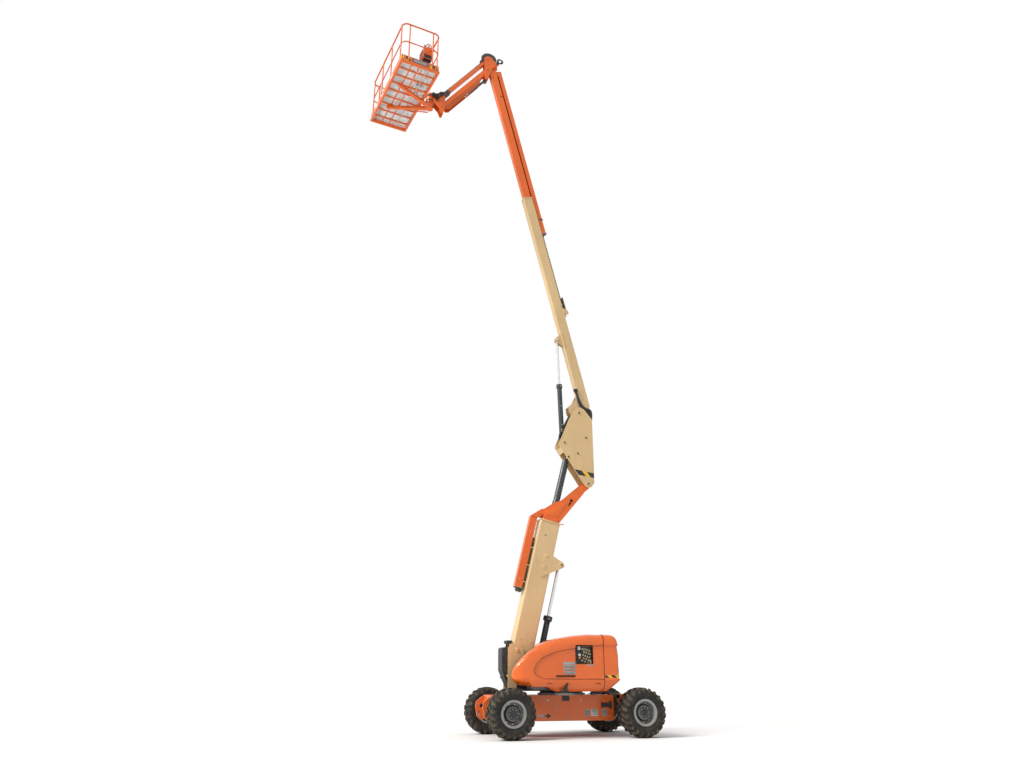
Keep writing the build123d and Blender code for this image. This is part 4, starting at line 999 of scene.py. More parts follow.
class LIFT_OT_hoods(bpy.types.Operator):
    """Makes the two moulded engine hoods, with the window in the right one"""

    bl_idname = "lift.hoods"
    bl_label = "Hoods"

    def execute(self, context):
        for side, hand in HANDS:
            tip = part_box(f"hood_{side}")[0].x - 0.045
            nose = [tip + 0.30 * (1 - math.cos(t)) for t in spread(0.03, math.pi / 2, 22)]
            stations = nose + spread(nose[-1] + 0.012, HOOD_TAIL, 118)
            hood = Work(f"hood_shell_{side}", mirrored(hand))
            recess = recess_of(tip)
            sections = [hood_section(x, tip, recess) for x in stations]
            columns = len(sections[0])
            points = [point for section in sections for point in section]
            faces = grid_faces(len(sections), columns)
            faces.append(tuple(range(columns)))
            hood.faces(points, faces, "orange_hood")
            if side == "right":
                for at, normal in zip(WINDOW, ((1, 0, 0), (1, 0, 0), (0, 0, 1), (0, 0, 1))):
                    near = [f for f in hood.shape.faces if f.calc_center_median().y < -0.9]
                    edges = {e for f in near for e in f.edges}
                    verts = {v for f in near for v in f.verts}
                    bmesh.ops.bisect_plane(
                        hood.shape, geom=[*near, *edges, *verts], dist=1e-5, plane_co=Vector(normal) * at,
                        plane_no=normal,
                    )
                gone = []
                for face in hood.shape.faces:
                    x, y, z = face.calc_center_median()
                    if y < -0.9 and WINDOW[0] < x < WINDOW[1] and WINDOW[2] < z < WINDOW[3]:
                        gone.append(face)
                bmesh.ops.delete(hood.shape, geom=gone, context="FACES")
            bmesh.ops.remove_doubles(hood.shape, verts=hood.shape.verts, dist=1e-5)
            hood.skin(Vector((0, hand, 0)))
            hood.done(f"{side}_hood", [f"hood_{side}"], sharp=40)
        return {"FINISHED"}


TAIL_END = 0.80  # how far back the covers reach
TAIL_SIDE = (
    (0.770, 0.20), (0.785, 0.14), (0.81, 0.09), (0.85, 0.05), (0.93, 0.012), (0.975, 0.0), (1.56, 0.0), (1.62, 0.006),
    (1.68, 0.022), (1.715, 0.05), (1.735, 0.09), (1.745, 0.15),
)
TAIL_BACK = ((0.770, 0.20), (0.81, 0.18), (0.85, 0.135), (0.93, 0.035), (0.965, 0.0), (1.37, 0.0), (1.56, 0.022),
             (1.62, 0.034), (1.68, 0.055), (1.715, 0.085), (1.735, 0.13), (1.745, 0.20))


class LIFT_OT_tail_covers(bpy.types.Operator):
    """Makes the two moulded covers of the counterweight"""

    bl_idname = "lift.tail_covers"
    bl_label = "Tail covers"

    def execute(self, context):
        levels = [0.770, 0.785, 0.80, 0.825, 0.85, 0.89, 0.93, 0.96, 0.97] + spread(0.975, 1.56, 44)
        levels += [1.59, 1.62, 1.65, 1.68, 1.70, 1.715, 1.727, 1.735, 1.742, 1.745]
        for side, hand in HANDS:
            cover = Work(f"tail_shell_{side}", mirrored(hand))
            points = []
            for z in levels:
                sunk = RECESS * ease((z - 0.975) / 0.02) * ease((1.553 - z) / 0.02)
                half, back = HOOD_HALF - between(z, TAIL_SIDE) - sunk, TAIL_END - between(z, TAIL_BACK) - sunk
                bend = 0.055
                loop = [(x, half) for x in spread(0.492, back - bend, 14)]
                loop += [
                    (back - bend + bend * math.sin(t), half - bend + bend * math.cos(t))
                    for t in spread(0, math.pi / 2, 9)[1:]
                ]
                loop += [(back, y) for y in spread(half - bend, HOOD_INSIDE, 12)[1:]]
                loop.append((0.55, HOOD_INSIDE))
                columns = len(loop)
                for x, y in loop:
                    points.append((x, y, z))
            faces = grid_faces(len(levels), columns)
            last = (len(levels) - 1) * columns
            faces.append(tuple(range(last, last + columns)))
            cover.faces(points, faces, "orange_hood")
            cover.skin(Vector((1, hand, 1)))
            cover.done("turntable", [f"tail_cover_{side}"], sharp=40)
        return {"FINISHED"}


class LIFT_OT_chassis_fittings(bpy.types.Operator):
    """Makes the chassis's pockets, arrows, blank plates, hose brackets and the drive axle's gear housing"""

    bl_idname = "lift.chassis_fittings"
    bl_label = "Chassis fittings"

    def execute(self, context):
        low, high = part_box("chassis_frame")
        half, tip = high.y, max(abs(low.x), high.x)
        fit = Work("chassis_fittings")
        for hand in SIDES:
            face = mirrored(hand)
            # Pocket in each side: a black box standing for its hollow, as painted shade, under an orange lip
            fit.box((-0.125, half - 0.002, 0.604), (0.017, half + 0.004, 0.689), "black_bracket", face, 0.004)
            fit.box((-0.135, half, 0.694), (0.027, half + 0.012, 0.700), "orange_enamel", face, 0.002)
            for x, neck, point, under, over, finish in (
                (-0.60, -0.53, -0.46, 0.322, 0.395, "plate_grey"),
                (-0.455, -0.41, -0.34, 0.308, 0.407, "black_bracket"),
            ):
                arrow = (
                    (x, 0.345), (x, 0.372), (neck, 0.372), (neck, over), (point, 0.358), (neck, under), (neck, 0.345),
                )
                fit.plate(arrow, half, half + 0.001, finish, face)
            for x0, x1, finish in (
                (0.316, 0.405, "plate_grey"), (0.433, 0.565, "plate_white"), (0.648, 0.742, "plate_grey"),
            ):
                fit.box((x0, half, 0.346), (x1, half + 0.0015, 0.465), finish, face, 0.0006)
                for z in (0.372, 0.396, 0.42):
                    fit.box(
                        (x0 + 0.012, half + 0.0012, z), (x1 - 0.012, half + 0.002, z + 0.008), "panel_black", face,
                    )
            fit.box((0.443, half + 0.0012, 0.438), (0.555, half + 0.0024, 0.458), "plate_green", face)
            fit.rod((0.655, half, 0.532), (0.80, half, 0.532), 0.038, "black_casting", 28, face, 0.006)
            fit.rod((0.64, half, 0.532), (0.66, half, 0.532), 0.046, "black_casting", 28, face, 0.004)
            fit.box((0.79, half - 0.02, 0.47), (0.84, half + 0.02, 0.60), "black_bracket", face, 0.006)
            for x, z in ((-0.80, 0.64), (-0.80, 0.34), (0.80, 0.34), (0.24, 0.62), (-0.40, 0.62)):
                fit.bolt((x, half, z), (0, 1, 0), 0.013, "zinc", face)
            for end in SIDES:
                fit.box((end * 0.86, 0.215, 0.70), (end * 1.36, 0.29, 0.712), "orange_enamel", face, 0.003)
                ring = face @ Matrix.Translation((end * (tip - 0.105), 0, 0.525)) @ OUTWARD
                for y in (0.262, 0.299):
                    fit.lathe(
                        ((0.040, y), (0.064, y), (0.064, y + 0.007), (0.040, y + 0.007)), ring, "orange_enamel", 36,
                    )
            fit.box((0.80, 0.30, 0.60), (0.955, 0.395, 0.735), "black_bracket", face, 0.010)
            fit.box((0.86, 0.31, 0.44), (0.93, 0.385, 0.61), "black_bracket", face, 0.008)
            fit.box((0.885, 0.22, 0.635), (1.06, 0.30, 0.715), "black_bracket", face, 0.008)
            fit.pipe(
                (
                    (0.72, 0.30, 0.715), (0.80, 0.33, 0.735), (0.90, 0.36, 0.70), (0.93, 0.38, 0.60),
                    (0.99, 0.36, 0.52),
                ),
                0.013, "hose_black", place=face,
            )
            fit.pipe(
                ((0.70, 0.26, 0.715), (0.79, 0.28, 0.75), (0.90, 0.30, 0.73), (0.95, 0.33, 0.62), (1.03, 0.33, 0.52)),
                0.011, "hose_black", place=face,
            )
        # Gear housing, motor and brake of the drive axle
        axle = Matrix.Translation((-1.22, 0, 0.419))
        across = axle @ OUTWARD
        bulb = (
            (0, -0.175), (0.095, -0.175), (0.11, -0.165), (0.15, -0.10), (0.168, -0.03), (0.168, 0.03), (0.15, 0.10),
            (0.11, 0.165), (0.095, 0.175), (0, 0.175),
        )
        fit.lathe(bulb, across, "black_casting", 40, closed=False)
        fit.rod((0.10, 0, 0), (0.28, 0, 0), 0.085, "black_casting", 32, axle, 0.01)
        fit.rod((0.28, 0, 0), (0.42, 0, 0), 0.062, "slate_paint", 32, axle, 0.008)
        for t in spread(0, 2 * math.pi, 9)[:-1]:
            fit.bolt((-0.155, 0.12 * math.cos(t), 0.12 * math.sin(t)), (-1, 0, 0), 0.012, "zinc", axle)
            fit.bolt((0.28, 0.074 * math.cos(t), 0.074 * math.sin(t)), (1, 0, 0), 0.008, "zinc", axle)
        fit.lathe(((0, 0.13), (0.135, 0.13), (0.14, 0.14), (0.12, 0.158), (0, 0.165)), axle @ ASTERN,
                  "black_casting", 40, closed=False)
        fit.done("chassis")
        return {"FINISHED"}


class LIFT_OT_front_weight(bpy.types.Operator):
    """Makes the front weight with its rounded edges, lifting eyes and warning stripe; its grey body and the black
    sheets on its sides are lit and shaded copies of one paint: painted light and painted shade
    """

    bl_idname = "lift.front_weight"
    bl_label = "Front weight"

    def execute(self, context):
        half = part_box("front_weight")[1].y
        outline = [
            (-1.19, 1.13), (-1.19, 1.50), (-1.172, 1.53), (-1.062, 1.533), (-1.062, 1.085), (-0.99, 0.93),
            (-0.99, 0.804), (-1.0, 0.804), (-1.045, 0.83), (-1.112, 0.95),
        ]
        weight = Work("front_weight_casting")
        weight.plate(outline, -half + 0.001, half - 0.001, "weight_grey", bevel=0.007, steps=3)
        cheek = [
            (-1.178, 1.14), (-1.178, 1.495), (-1.166, 1.515), (-1.075, 1.518), (-1.075, 1.08), (-1.005, 0.93),
            (-1.005, 0.85), (-1.04, 0.845), (-1.10, 0.955),
        ]
        for hand in SIDES:
            face = mirrored(hand)
            # Thin black sheets on both sides of the weight: painted shade
            weight.plate(cheek, half - 0.002, half + 0.0015, "black_casting", face)
            weight.plate(
                [(-1.158, 1.015), (-1.075, 1.06), (-1.02, 0.93), (-1.095, 0.955)], half + 0.001, half + 0.003,
                "stripes_hood", face,
            )
            for z in (1.2, 1.44):
                weight.bolt((-1.12, half + 0.001, z), (0, 1, 0), 0.016, "black_casting", face)
            weight.box((-1.088, 0.02, 1.60), (-0.985, 0.10, 1.655), "black_bracket", face, 0.006)
            weight.box((-1.06, 0.045, 1.53), (-1.035, 0.075, 1.61), "black_bracket", face, 0.004)
        weight.done("turntable", ["front_weight"])
        return {"FINISHED"}


class LIFT_OT_engine_bay(bpy.types.Operator):
    """Makes the engine, the hydraulic tank, the valves and their hoses under the hoods"""

    bl_idname = "lift.engine_bay"
    bl_label = "Engine bay"

    def execute(self, context):
        low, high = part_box("engine_block")
        bay = Work("engine")
        x0, x1, y0, y1, z0, z1 = low.x, high.x, low.y, high.y, low.z, high.z
        tall = z1 - z0
        bay.box(
            (x0 + 0.06, y0 + 0.03, z0 + 0.06), (x1 - 0.14, y1 - 0.03, z0 + 0.62 * tall), "engine_grey", bevel=0.012,
        )
        bay.box((x0 + 0.10, y0 + 0.06, z0), (x1 - 0.20, y1 - 0.06, z0 + 0.08), "black_casting", bevel=0.01)
        bay.box(
            (x0 + 0.08, y0 + 0.07, z0 + 0.62 * tall), (x1 - 0.16, y1 - 0.07, z0 + 0.78 * tall), "engine_grey",
            bevel=0.01,
        )
        bay.box(
            (x0 + 0.11, y0 + 0.09, z0 + 0.78 * tall), (x1 - 0.19, y1 - 0.09, z0 + 0.88 * tall), "panel_black",
            bevel=0.02,
        )
        bay.box((x1 - 0.13, y0, z0 + 0.10 * tall), (x1 - 0.02, y1, z1 - 0.02), "black_casting", bevel=0.012)
        for z in spread(z0 + 0.14 * tall, z1 - 0.06, 16):
            bay.box((x1 - 0.022, y0 + 0.02, z), (x1 - 0.012, y1 - 0.02, z + 0.012), "zinc")
        for x in spread(x0 + 0.14, x1 - 0.24, 5):
            bay.bolt((x, (y0 + y1) / 2, z0 + 0.88 * tall), (0, 0, 1), 0.014, "zinc")
            bay.rod((x, y1 - 0.035, z0 + 0.70 * tall), (x, y1 - 0.005, z0 + 0.70 * tall), 0.02, "zinc")
            bay.box(
                (x - 0.018, y1 - 0.034, z0 + 0.15 * tall), (x + 0.018, y1 - 0.022, z0 + 0.5 * tall), "engine_grey",
                bevel=0.004,
            )
        bay.rod(
            (x0 + 0.12, y1 - 0.11, z1 - 0.075), (x0 + 0.42, y1 - 0.11, z1 - 0.075), 0.07, "panel_black", 32,
            edge=0.012,
        )
        bay.rod((x0 + 0.02, y0 + 0.10, z0 + 0.72 * tall), (x0 + 0.02, y0 + 0.10, z1 - 0.01), 0.028, "gear_steel", 24)
        for y, z, radius, groove, finish in (
            ((y0 + y1) / 2, 0.30, 0.075, 0.06, "black_casting"), (y1 - 0.10, 0.55, 0.045, 0.036, "zinc"),
        ):
            pulley = Matrix.Translation((x0 + 0.055, y, z0 + z * tall)) @ ASTERN
            rim = ((0, 0), (radius, 0), (radius, 0.012), (groove, 0.02), (radius, 0.028), (radius, 0.04), (0, 0.04))
            bay.lathe(rim, pulley, finish, 36, closed=False)
        bay.pipe(
            ((x0 + 0.30, y1 - 0.11, z1 - 0.06), (x0 + 0.50, y1 - 0.12, z1 - 0.03), (x1 - 0.20, y1 - 0.14, z1 - 0.06),
             (x1 - 0.09, y1 - 0.12, z1 - 0.14)), 0.028, "hose_black", 14,
        )
        bay.pipe(
            (
                (x0 + 0.16, y1 - 0.03, z0 + 0.20 * tall), (x0 + 0.30, y1 - 0.012, z0 + 0.30 * tall),
                (x1 - 0.30, y1 - 0.012, z0 + 0.34 * tall), (x1 - 0.13, y1 - 0.03, z0 + 0.26 * tall),
            ),
            0.014, "hose_black", 10,
        )
        bay.done("turntable", ["engine_block"])

        low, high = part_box("hydraulic_tank")
        x0, x1, y0, y1, z0, z1 = low.x, high.x, low.y, high.y, low.z, high.z
        tank = Work("hydraulic_reservoir")
        tank.box((x0, y0, z0), (x1, y1, z1 - 0.05), "tank_grey", bevel=0.02, steps=3)
        tank.rod(
            (x0 + 0.12, (y0 + y1) / 2, z1 - 0.052), (x0 + 0.12, (y0 + y1) / 2, z1 - 0.004), 0.05, "panel_black", 28,
            edge=0.008,
        )
        tank.rod(
            (x0 + 0.38, (y0 + y1) / 2, z1 - 0.052), (x0 + 0.38, (y0 + y1) / 2, z1 - 0.012), 0.075, "zinc", 32,
            edge=0.006,
        )
        tank.box((x0 + 0.06, y0 - 0.006, z0 + 0.14), (x0 + 0.10, y0 + 0.002, z0 + 0.34), "plate_white", bevel=0.003)
        tank.box((x0 + 0.20, y0 - 0.03, z0 + 0.05), (x0 + 0.50, y0 - 0.001, z0 + 0.17), "zinc", bevel=0.006)
        for x in spread(x0 + 0.23, x0 + 0.47, 5):
            tank.rod((x, y0 - 0.029, z0 + 0.13), (x, y0 - 0.062, z0 + 0.13), 0.016, "panel_black", 18)
            tank.pipe(
                (
                    (x, y0 - 0.02, z0 + 0.07), (x, y0 - 0.06, z0 + 0.04), (x + 0.03, y0 - 0.05, z0 + 0.012),
                    (x + 0.12, y0 - 0.03, z0 + 0.012),
                ),
                0.008, "hose_black", 8,
            )
        for x in (x0 + 0.02, x1 - 0.02):
            for y in (y0 + 0.05, y1 - 0.05):
                tank.bolt((x, y, z1 - 0.05), (0, 0, 1), 0.01, "zinc")
        tank.done("turntable", ["hydraulic_tank"])
        return {"FINISHED"}


class LIFT_OT_ground_control(bpy.types.Operator):
    """Makes the ground control panel: gauges, toggles, key switch, lamps and stop button in a dark face"""

    bl_idname = "lift.ground_control"
    bl_label = "Ground control"

    def execute(self, context):
        x0, x1, z0, z1 = WINDOW
        face = -0.958
        panel = Work("ground_panel")
        panel.box((x0 + 0.008, face, z0 + 0.008), (x1 - 0.008, face + 0.14, z1 - 0.008), "panel_black", bevel=0.006)
        panel.box(
            (x0 - 0.05, face + 0.004, z0 - 0.05), (x1 + 0.05, face + 0.012, z1 + 0.04), "panel_black", bevel=0.002,
        )
        panel.box((0.08, face + 0.13, z0 + 0.02), (0.14, -0.66, z0 + 0.08), "panel_black", bevel=0.004)
        panel.box((0.08, -0.72, 0.804), (0.14, -0.66, z0 + 0.08), "panel_black", bevel=0.004)
        for x, z, size in ((0.02, 1.50, 0.034), (0.03, 1.385, 0.026)):
            panel.rod((x, face, z), (x, face - 0.008, z), size, "zinc", 28)
            panel.rod((x, face - 0.008, z), (x, face - 0.009, z), 0.82 * size, "plate_white", 28, edge=0.0003)
            panel.box((x - 0.002, face - 0.0095, z), (x + 0.002, face - 0.0105, z + 0.7 * size), "red_knob")
        panel.rod((0.035, face, 1.335), (0.035, face - 0.012, 1.335), 0.022, "plate_yellow", 24)
        panel.rod((0.035, face - 0.012, 1.335), (0.035, face - 0.022, 1.335), 0.018, "red_knob", 24, edge=0.004)
        panel.rod((0.075, face, 1.285), (0.075, face - 0.012, 1.285), 0.014, "zinc", 20)
        panel.box((0.072, face - 0.012, 1.272), (0.078, face - 0.03, 1.298), "zinc", bevel=0.001)
        places = [
            (0.085, 1.50), (0.12, 1.495), (0.155, 1.485), (0.19, 1.475), (0.225, 1.465), (0.12, 1.445), (0.16, 1.435),
            (0.20, 1.42), (0.235, 1.41), (0.10, 1.39), (0.14, 1.38), (0.18, 1.36), (0.22, 1.355), (0.11, 1.335),
            (0.16, 1.32), (0.205, 1.305), (0.24, 1.30), (0.13, 1.28), (0.19, 1.265), (0.235, 1.26),
        ]
        for i, (x, z) in enumerate(places):
            panel.rod((x, face, z), (x, face - 0.003, z), 0.0085, "zinc", 14)
            panel.rod((x, face - 0.002, z), (x, face - 0.014, z + 0.006), 0.0032, "zinc", 10)
            label = "plate_yellow" if i % 5 else "plate_white"
            panel.box((x - 0.014, face, z - 0.021), (x + 0.014, face - 0.0008, z - 0.012), label)
        for x in spread(0.09, 0.24, 6):
            panel.rod(
                (x, face, 1.528), (x, face - 0.004, 1.528), 0.005, "plate_green" if x > 0.2 else "plate_yellow", 12,
            )
        for x, z in ((x0 + 0.02, z0 + 0.02), (x1 - 0.02, z0 + 0.02), (x0 + 0.02, z1 - 0.02), (x1 - 0.02, z1 - 0.02)):
            panel.bolt((x, face, z), (0, -1, 0), 0.005, "zinc")
        panel.done("turntable", ["ground_control"])
        return {"FINISHED"}


class LIFT_OT_hood_fittings(bpy.types.Operator):
    """Makes the hoods' latches, blank plates, lines of painted shade at their sunk panels and joints, and window
    trim, and the tail covers' stripes
    """

    bl_idname = "lift.hood_fittings"
    bl_label = "Hood fittings"

    def execute(self, context):
        wall = HOOD_HALF - RECESS
        for side, hand in HANDS:
            face = mirrored(hand)
            fit = Work(f"hood_fittings_{side}", face)
            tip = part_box(f"hood_{side}")[0].x - 0.045
            # Dark lines of painted shade along the edge of the sunk panel
            shade_line = [(x, wall + 0.0165, z) for x, z in recess_of(tip) if x < 0.45]
            turn = next(i for i, point in enumerate(shade_line) if point[0] > 0.2)
            upper = shade_line[:turn + 1] + [(HOOD_TAIL, wall + 0.0165, 1.546)]
            lower = [(HOOD_TAIL, wall + 0.0165, 0.978)] + shade_line[turn + 1:] + shade_line[:1]
            fit.pipe(upper, 0.0045, "seam_dark", 6)
            fit.pipe(lower, 0.0045, "seam_dark", 6)
            fit.box((-0.29, wall - 0.006, 1.215), (-0.058, wall + 0.002, 1.262), "plate_grey", bevel=0.001)
            for z in (1.165, 1.112, 1.058):
                fit.box((-0.285, wall - 0.006, z), (-0.062, wall + 0.002, z + 0.043), "plate_grey", bevel=0.001)
                for low in (0.009, 0.023):
                    fit.box((-0.275, wall + 0.001, z + low), (-0.09, wall + 0.0025, z + low + 0.005), "panel_black")
            # Dark orange strip: painted shade
            fit.box((-0.426, wall - 0.006, 1.005), (-0.064, wall + 0.002, 1.046), "seam_dark", bevel=0.001)
            fit.box((0.151, wall - 0.006, 1.203), (0.300, wall + 0.002, 1.222), "plate_grey", bevel=0.001)
            # Latch and its lever in a hollow of the lower edge
            lever = [(-0.235, 0.915), (-0.205, 0.905), (-0.235, 0.80), (-0.27, 0.772), (-0.32, 0.768), (-0.29, 0.80)]
            fit.plate(lever, 0.955, 0.992, "black_bracket", bevel=0.004)
            fit.rod((-0.222, 0.94, 0.90), (-0.222, 1.004, 0.90), 0.016, "black_bracket", 20)
            fit.box((-0.34, 0.90, 0.762), (-0.17, 0.94, 0.79), "black_bracket", bevel=0.005)
            for x in (-0.55, 0.36):
                fit.box((x - 0.05, 0.93, 0.90), (x + 0.05, 0.9935, 0.905), "black_bracket", bevel=0.001)
            if side == "right":
                x0, x1, z0, z1 = WINDOW
                rim = 0.008
                for low, high in (
                    ((x0 - rim, z0 - rim), (x1 + rim, z0)), ((x0 - rim, z1), (x1 + rim, z1 + rim)),
                    ((x0 - rim, z0), (x0, z1)), ((x1, z0), (x1 + rim, z1)),
                ):
                    fit.box(
                        (low[0], wall - 0.012, low[1]), (high[0], wall + 0.004, high[1]), "panel_black", bevel=0.002,
                    )
            fit.done(f"{side}_hood")

            tail = Work(f"tail_fittings_{side}", face)
            back = TAIL_END - RECESS
            bend = [
                (back - 0.05 + 0.0515 * math.sin(t), wall - 0.05 + 0.0515 * math.cos(t))
                for t in spread(0, math.pi / 2, 7)
            ]
            line = [(0.50, wall + 0.0015), *bend, (back + 0.0015, 0.62)]
            points = [(x, y, z) for z in (0.984, 1.044) for x, y in line]
            tail.faces(points, grid_faces(2, len(line)), "stripes_hood")
            points = [(x, y, z) for z in (1.085, 1.165) for x, y in line[3:8]]
            tail.faces(points, grid_faces(2, 5), "plate_grey")
            # Dark orange strip where hood and tail cover meet: painted shade
            tail.box((0.484, 0.34, 1.735), (0.489, 0.80, 1.74), "seam_dark")
            for z in (0.86, 1.30, 1.66):
                tail.bolt((TAIL_END - 0.005 - between(z, TAIL_BACK), 0.40, z), (1, 0, 0), 0.009, "zinc")
            tail.done("turntable")
        return {"FINISHED"}


def link_run(name, points):
    """Straight-line curve through points, for the links of a hose carrier."""
    curve = bpy.data.curves.new(name, "CURVE")
    curve.dimensions = "3D"
    spline = curve.splines.new("POLY")
    spline.points.add(len(points) - 1)
    for point, place in zip(spline.points, points):
        point.co = (*place, 1)
    run = bpy.data.objects.new(name, curve)
    bpy.context.scene.collection.objects.link(run)
    return run


class LIFT_OT_hose_carriers(bpy.types.Operator):
    """Makes the link chains that carry the hoses along the tower and the main boom"""

    bl_idname = "lift.hose_carriers"
    bl_label = "Hose carriers"

    def execute(self, context):
        pitch = context.scene.lift_sizes.carrier_pitch
        tree = path_tree()
        for name, body, node, place, top, end, low, back, tall, wide, loop in (
            ("tower_links", "tower", "tower_hose_carrier", TOWER, 2.05, 1.42, 1.15, 0.085, 0.058, 0.086, 0.092),
            ("main_links", "main_boom", "main_hose_carrier", MAIN, 4.33, 2.70, 2.44, 0.325, 0.036, 0.064, 0.046),
        ):
            middle = back + tall / 2
            radius = loop - tall / 2
            points = [(top - 0.03, 0, middle), (low, 0, middle)]
            points += [
                (low - radius * math.sin(t), 0, back + loop - radius * math.cos(t))
                for t in spread(0, math.pi, 13)[1:]
            ]
            points.append((end, 0, back + 2 * loop - tall / 2))
            run = link_run(name, [place @ Vector(point) for point in points])
            length = sum((Vector(b) - Vector(a)).length for a, b in zip(points, points[1:]))
            link = Work("link")
            h, w, l = tall / 2, wide / 2, 0.47 * pitch
            for hand in SIDES:
                side = [
                    (-l, -0.75 * h), (-l, 0.75 * h), (-0.7 * l, h), (0.55 * l, h), (l, 0.6 * h), (l, -0.6 * h),
                    (0.55 * l, -h), (-0.7 * l, -h),
                ]
                link.plate(side, hand * w, hand * (w - 0.007), "olive_plastic")
            link.box((-0.35 * l, -w + 0.004, 0.72 * h), (0.35 * l, w - 0.004, 0.98 * h), "olive_plastic")
            link.box((-0.35 * l, -w + 0.004, -0.98 * h), (0.35 * l, w - 0.004, -0.72 * h), "olive_plastic")
            made = repeat(link, tree, "olive_plastic", Run=run, Count=round(length / pitch) + 1)
            bpy.data.objects.remove(run)
            chain = Work(name)
            chain.take(made, "olive_plastic")
            lines = [(-0.25 * wide, 0.55), (0.0, 0.6), (0.25 * wide, 0.55)]
            for y, size in lines:
                chain.pipe(
                    [place @ Vector((x, y, z)) for x, _, z in points], size * h * 0.62, "hose_black", 8, smooth=False,
                )
            for s in (top - 0.10, (top + low) / 2, low + 0.12):
                chain.box(
                    (s - 0.012, -w - 0.004, back), (s + 0.012, w + 0.004, back + tall + 0.004), "zinc", place, 0.002,
                )
            chain.box(
                (top - 0.06, -w - 0.006, back), (top + 0.015, w + 0.006, back + tall + 0.006), "black_bracket", place,
                0.004,
            )
            chain.done(body, [node])
        return {"FINISHED"}


def capped_pin(work, at, radius, half, place, finish="zinc", keeper=True):
    """Ends of a pin that shows on both sides: a washer, a domed cap and a keeper plate with its bolt."""
    for hand in SIDES:
        flip = place @ Matrix.Translation((at[0], 0, at[1])) @ mirrored(hand)
        out = flip @ Matrix.Translation((0, half, 0)) @ OUTWARD
        work.lathe(
            (
                (0, 0), (1.45 * radius, 0), (1.45 * radius, 0.006), (radius, 0.007), (radius, 0.018),
                (0.8 * radius, 0.023), (0, 0.024),
            ),
            out, finish, 28, closed=False,
        )
        if keeper:
            work.box((-0.4 * radius, half, radius), (0.4 * radius, half + 0.008, 2.3 * radius), finish, flip, 0.002)
            work.bolt((0, half + 0.008, 1.9 * radius), (0, 1, 0), 0.26 * radius, "zinc", flip)


class LIFT_OT_tower_fittings(bpy.types.Operator):
    """Makes the pads, bosses, bolts, pins and gussets of the tower and its head"""

    bl_idname = "lift.tower_fittings"
    bl_label = "Tower fittings"

    def execute(self, context):
        half = 0.15
        fit = Work("tower_fittings", TOWER)
        capped_pin(fit, (0.0, 0.0), 0.034, half + 0.022, PLAIN, "tan_enamel")
        for hand in SIDES:
            flip = mirrored(hand)
            wall = half + 0.018
            for s, z, radius in ((1.853, -0.187, 0.042), (1.633, -0.181, 0.042)):
                fit.rod((s, wall - 0.002, z), (s, wall + 0.007, z), radius, "tan_enamel", 32, flip, 0.003)
                fit.rod((s, wall + 0.006, z), (s, wall + 0.012, z), 0.45 * radius, "tan_enamel", 24, flip, 0.002)
            fit.rod(
                (1.758, wall - 0.004, -0.512), (1.758, wall + 0.008, -0.512), 0.052, "tan_enamel", 32, flip, 0.003,
            )
            fit.rod(
                (1.758, wall + 0.006, -0.512), (1.758, wall + 0.014, -0.512), 0.030, "tan_enamel", 24, flip, 0.004,
            )
            fit.rod((2.239, half - 0.004, -0.075), (2.239, half + 0.0015, -0.075), 0.014, "panel_black", 20, flip)
            for s in (2.47, 2.40, 2.33):
                for z in (0.03, -0.27):
                    fit.bolt((s, half, z), (0, 1, 0), 0.009, "tan_enamel", flip)
            fit.bolt((1.758, half + 0.032, -0.512), (0, 1, 0), 0.014, "black_bracket", flip)
            fit.box((2.519, half - 0.02, -0.328), (2.545, half + 0.022, 0.090), "tan_enamel", flip, 0.004)
            fit.box((2.538, half - 0.03, -0.39), (2.556, half + 0.018, -0.345), "orange_enamel", flip, 0.004)
            fit.bolt((0.22, half, -0.24), (0, 1, 0), 0.014, "tan_enamel", flip)
            fit.bolt((0.22, half, -0.02), (0, 1, 0), 0.014, "tan_enamel", flip)
        for s in (2.36, 2.46):
            for y in (-0.08, 0.08):
                fit.bolt((s, y, 0.085), (0, 0, 1), 0.011, "zinc")
                fit.bolt((s, y, -0.325), (0, 0, -1), 0.011, "zinc")
        fit.box((2.055, -0.05, 0.085), (2.16, 0.05, 0.155), "black_bracket", bevel=0.01)
        fit.done("tower")

        head = Work("tower_head_fittings", TOWER)
        arm = 0.096
        for hand in SIDES:
            flip = mirrored(hand)
            gusset = [(2.645, 0.0), (2.70, 0.05), (2.80, -0.05), (3.03, -0.33), (3.00, -0.385), (2.64, -0.24)]
            head.plate(gusset, arm - 0.001, arm + 0.010, "orange_enamel", flip, 0.003)
            lug = [(2.60, 0.042), (2.677, 0.018), (2.655, -0.05), (2.60, -0.06)]
            head.plate(lug, arm + 0.012, arm + 0.026, "orange_enamel", flip, 0.003)
            ring = flip @ Matrix.Translation((3.09, arm, -0.47)) @ OUTWARD
            head.lathe(((0.036, -0.002), (0.046, -0.002), (0.046, 0.004), (0.036, 0.004)), ring, "orange_enamel", 32)
            head.rod((3.53, arm, -0.732), (3.53, arm + 0.026, -0.732), 0.062, "black_bracket", 32, flip, 0.004)
            for s, z in ((3.30, -0.60), (3.40, -0.66)):
                head.bolt((s, arm, z), (0, 1, 0), 0.010, "orange_enamel", flip)
            head.plate(
                [(2.93, -0.36), (2.96, -0.47), (3.10, -0.52), (3.16, -0.47), (3.12, -0.37), (3.02, -0.33)], 0.0775,
                0.0795, "panel_black", flip,
            )
        head.done("tower_inner")

        tube = Work("push_tube_fittings", TOWER)
        for s in (1.30, 1.75, 2.25):
            for hand in SIDES:
                tube.bolt((s, hand * 0.06, 0.22), (0, hand, 0), 0.010, "zinc")
        tube.box((1.135, -0.045, 0.145), (1.20, 0.045, 0.19), "black_bracket", bevel=0.006)
        tube.box((1.128, -0.062, 0.10), (1.145, 0.062, 0.285), "black_bracket", bevel=0.004)
        tube.done("tower_inner")
        return {"FINISHED"}


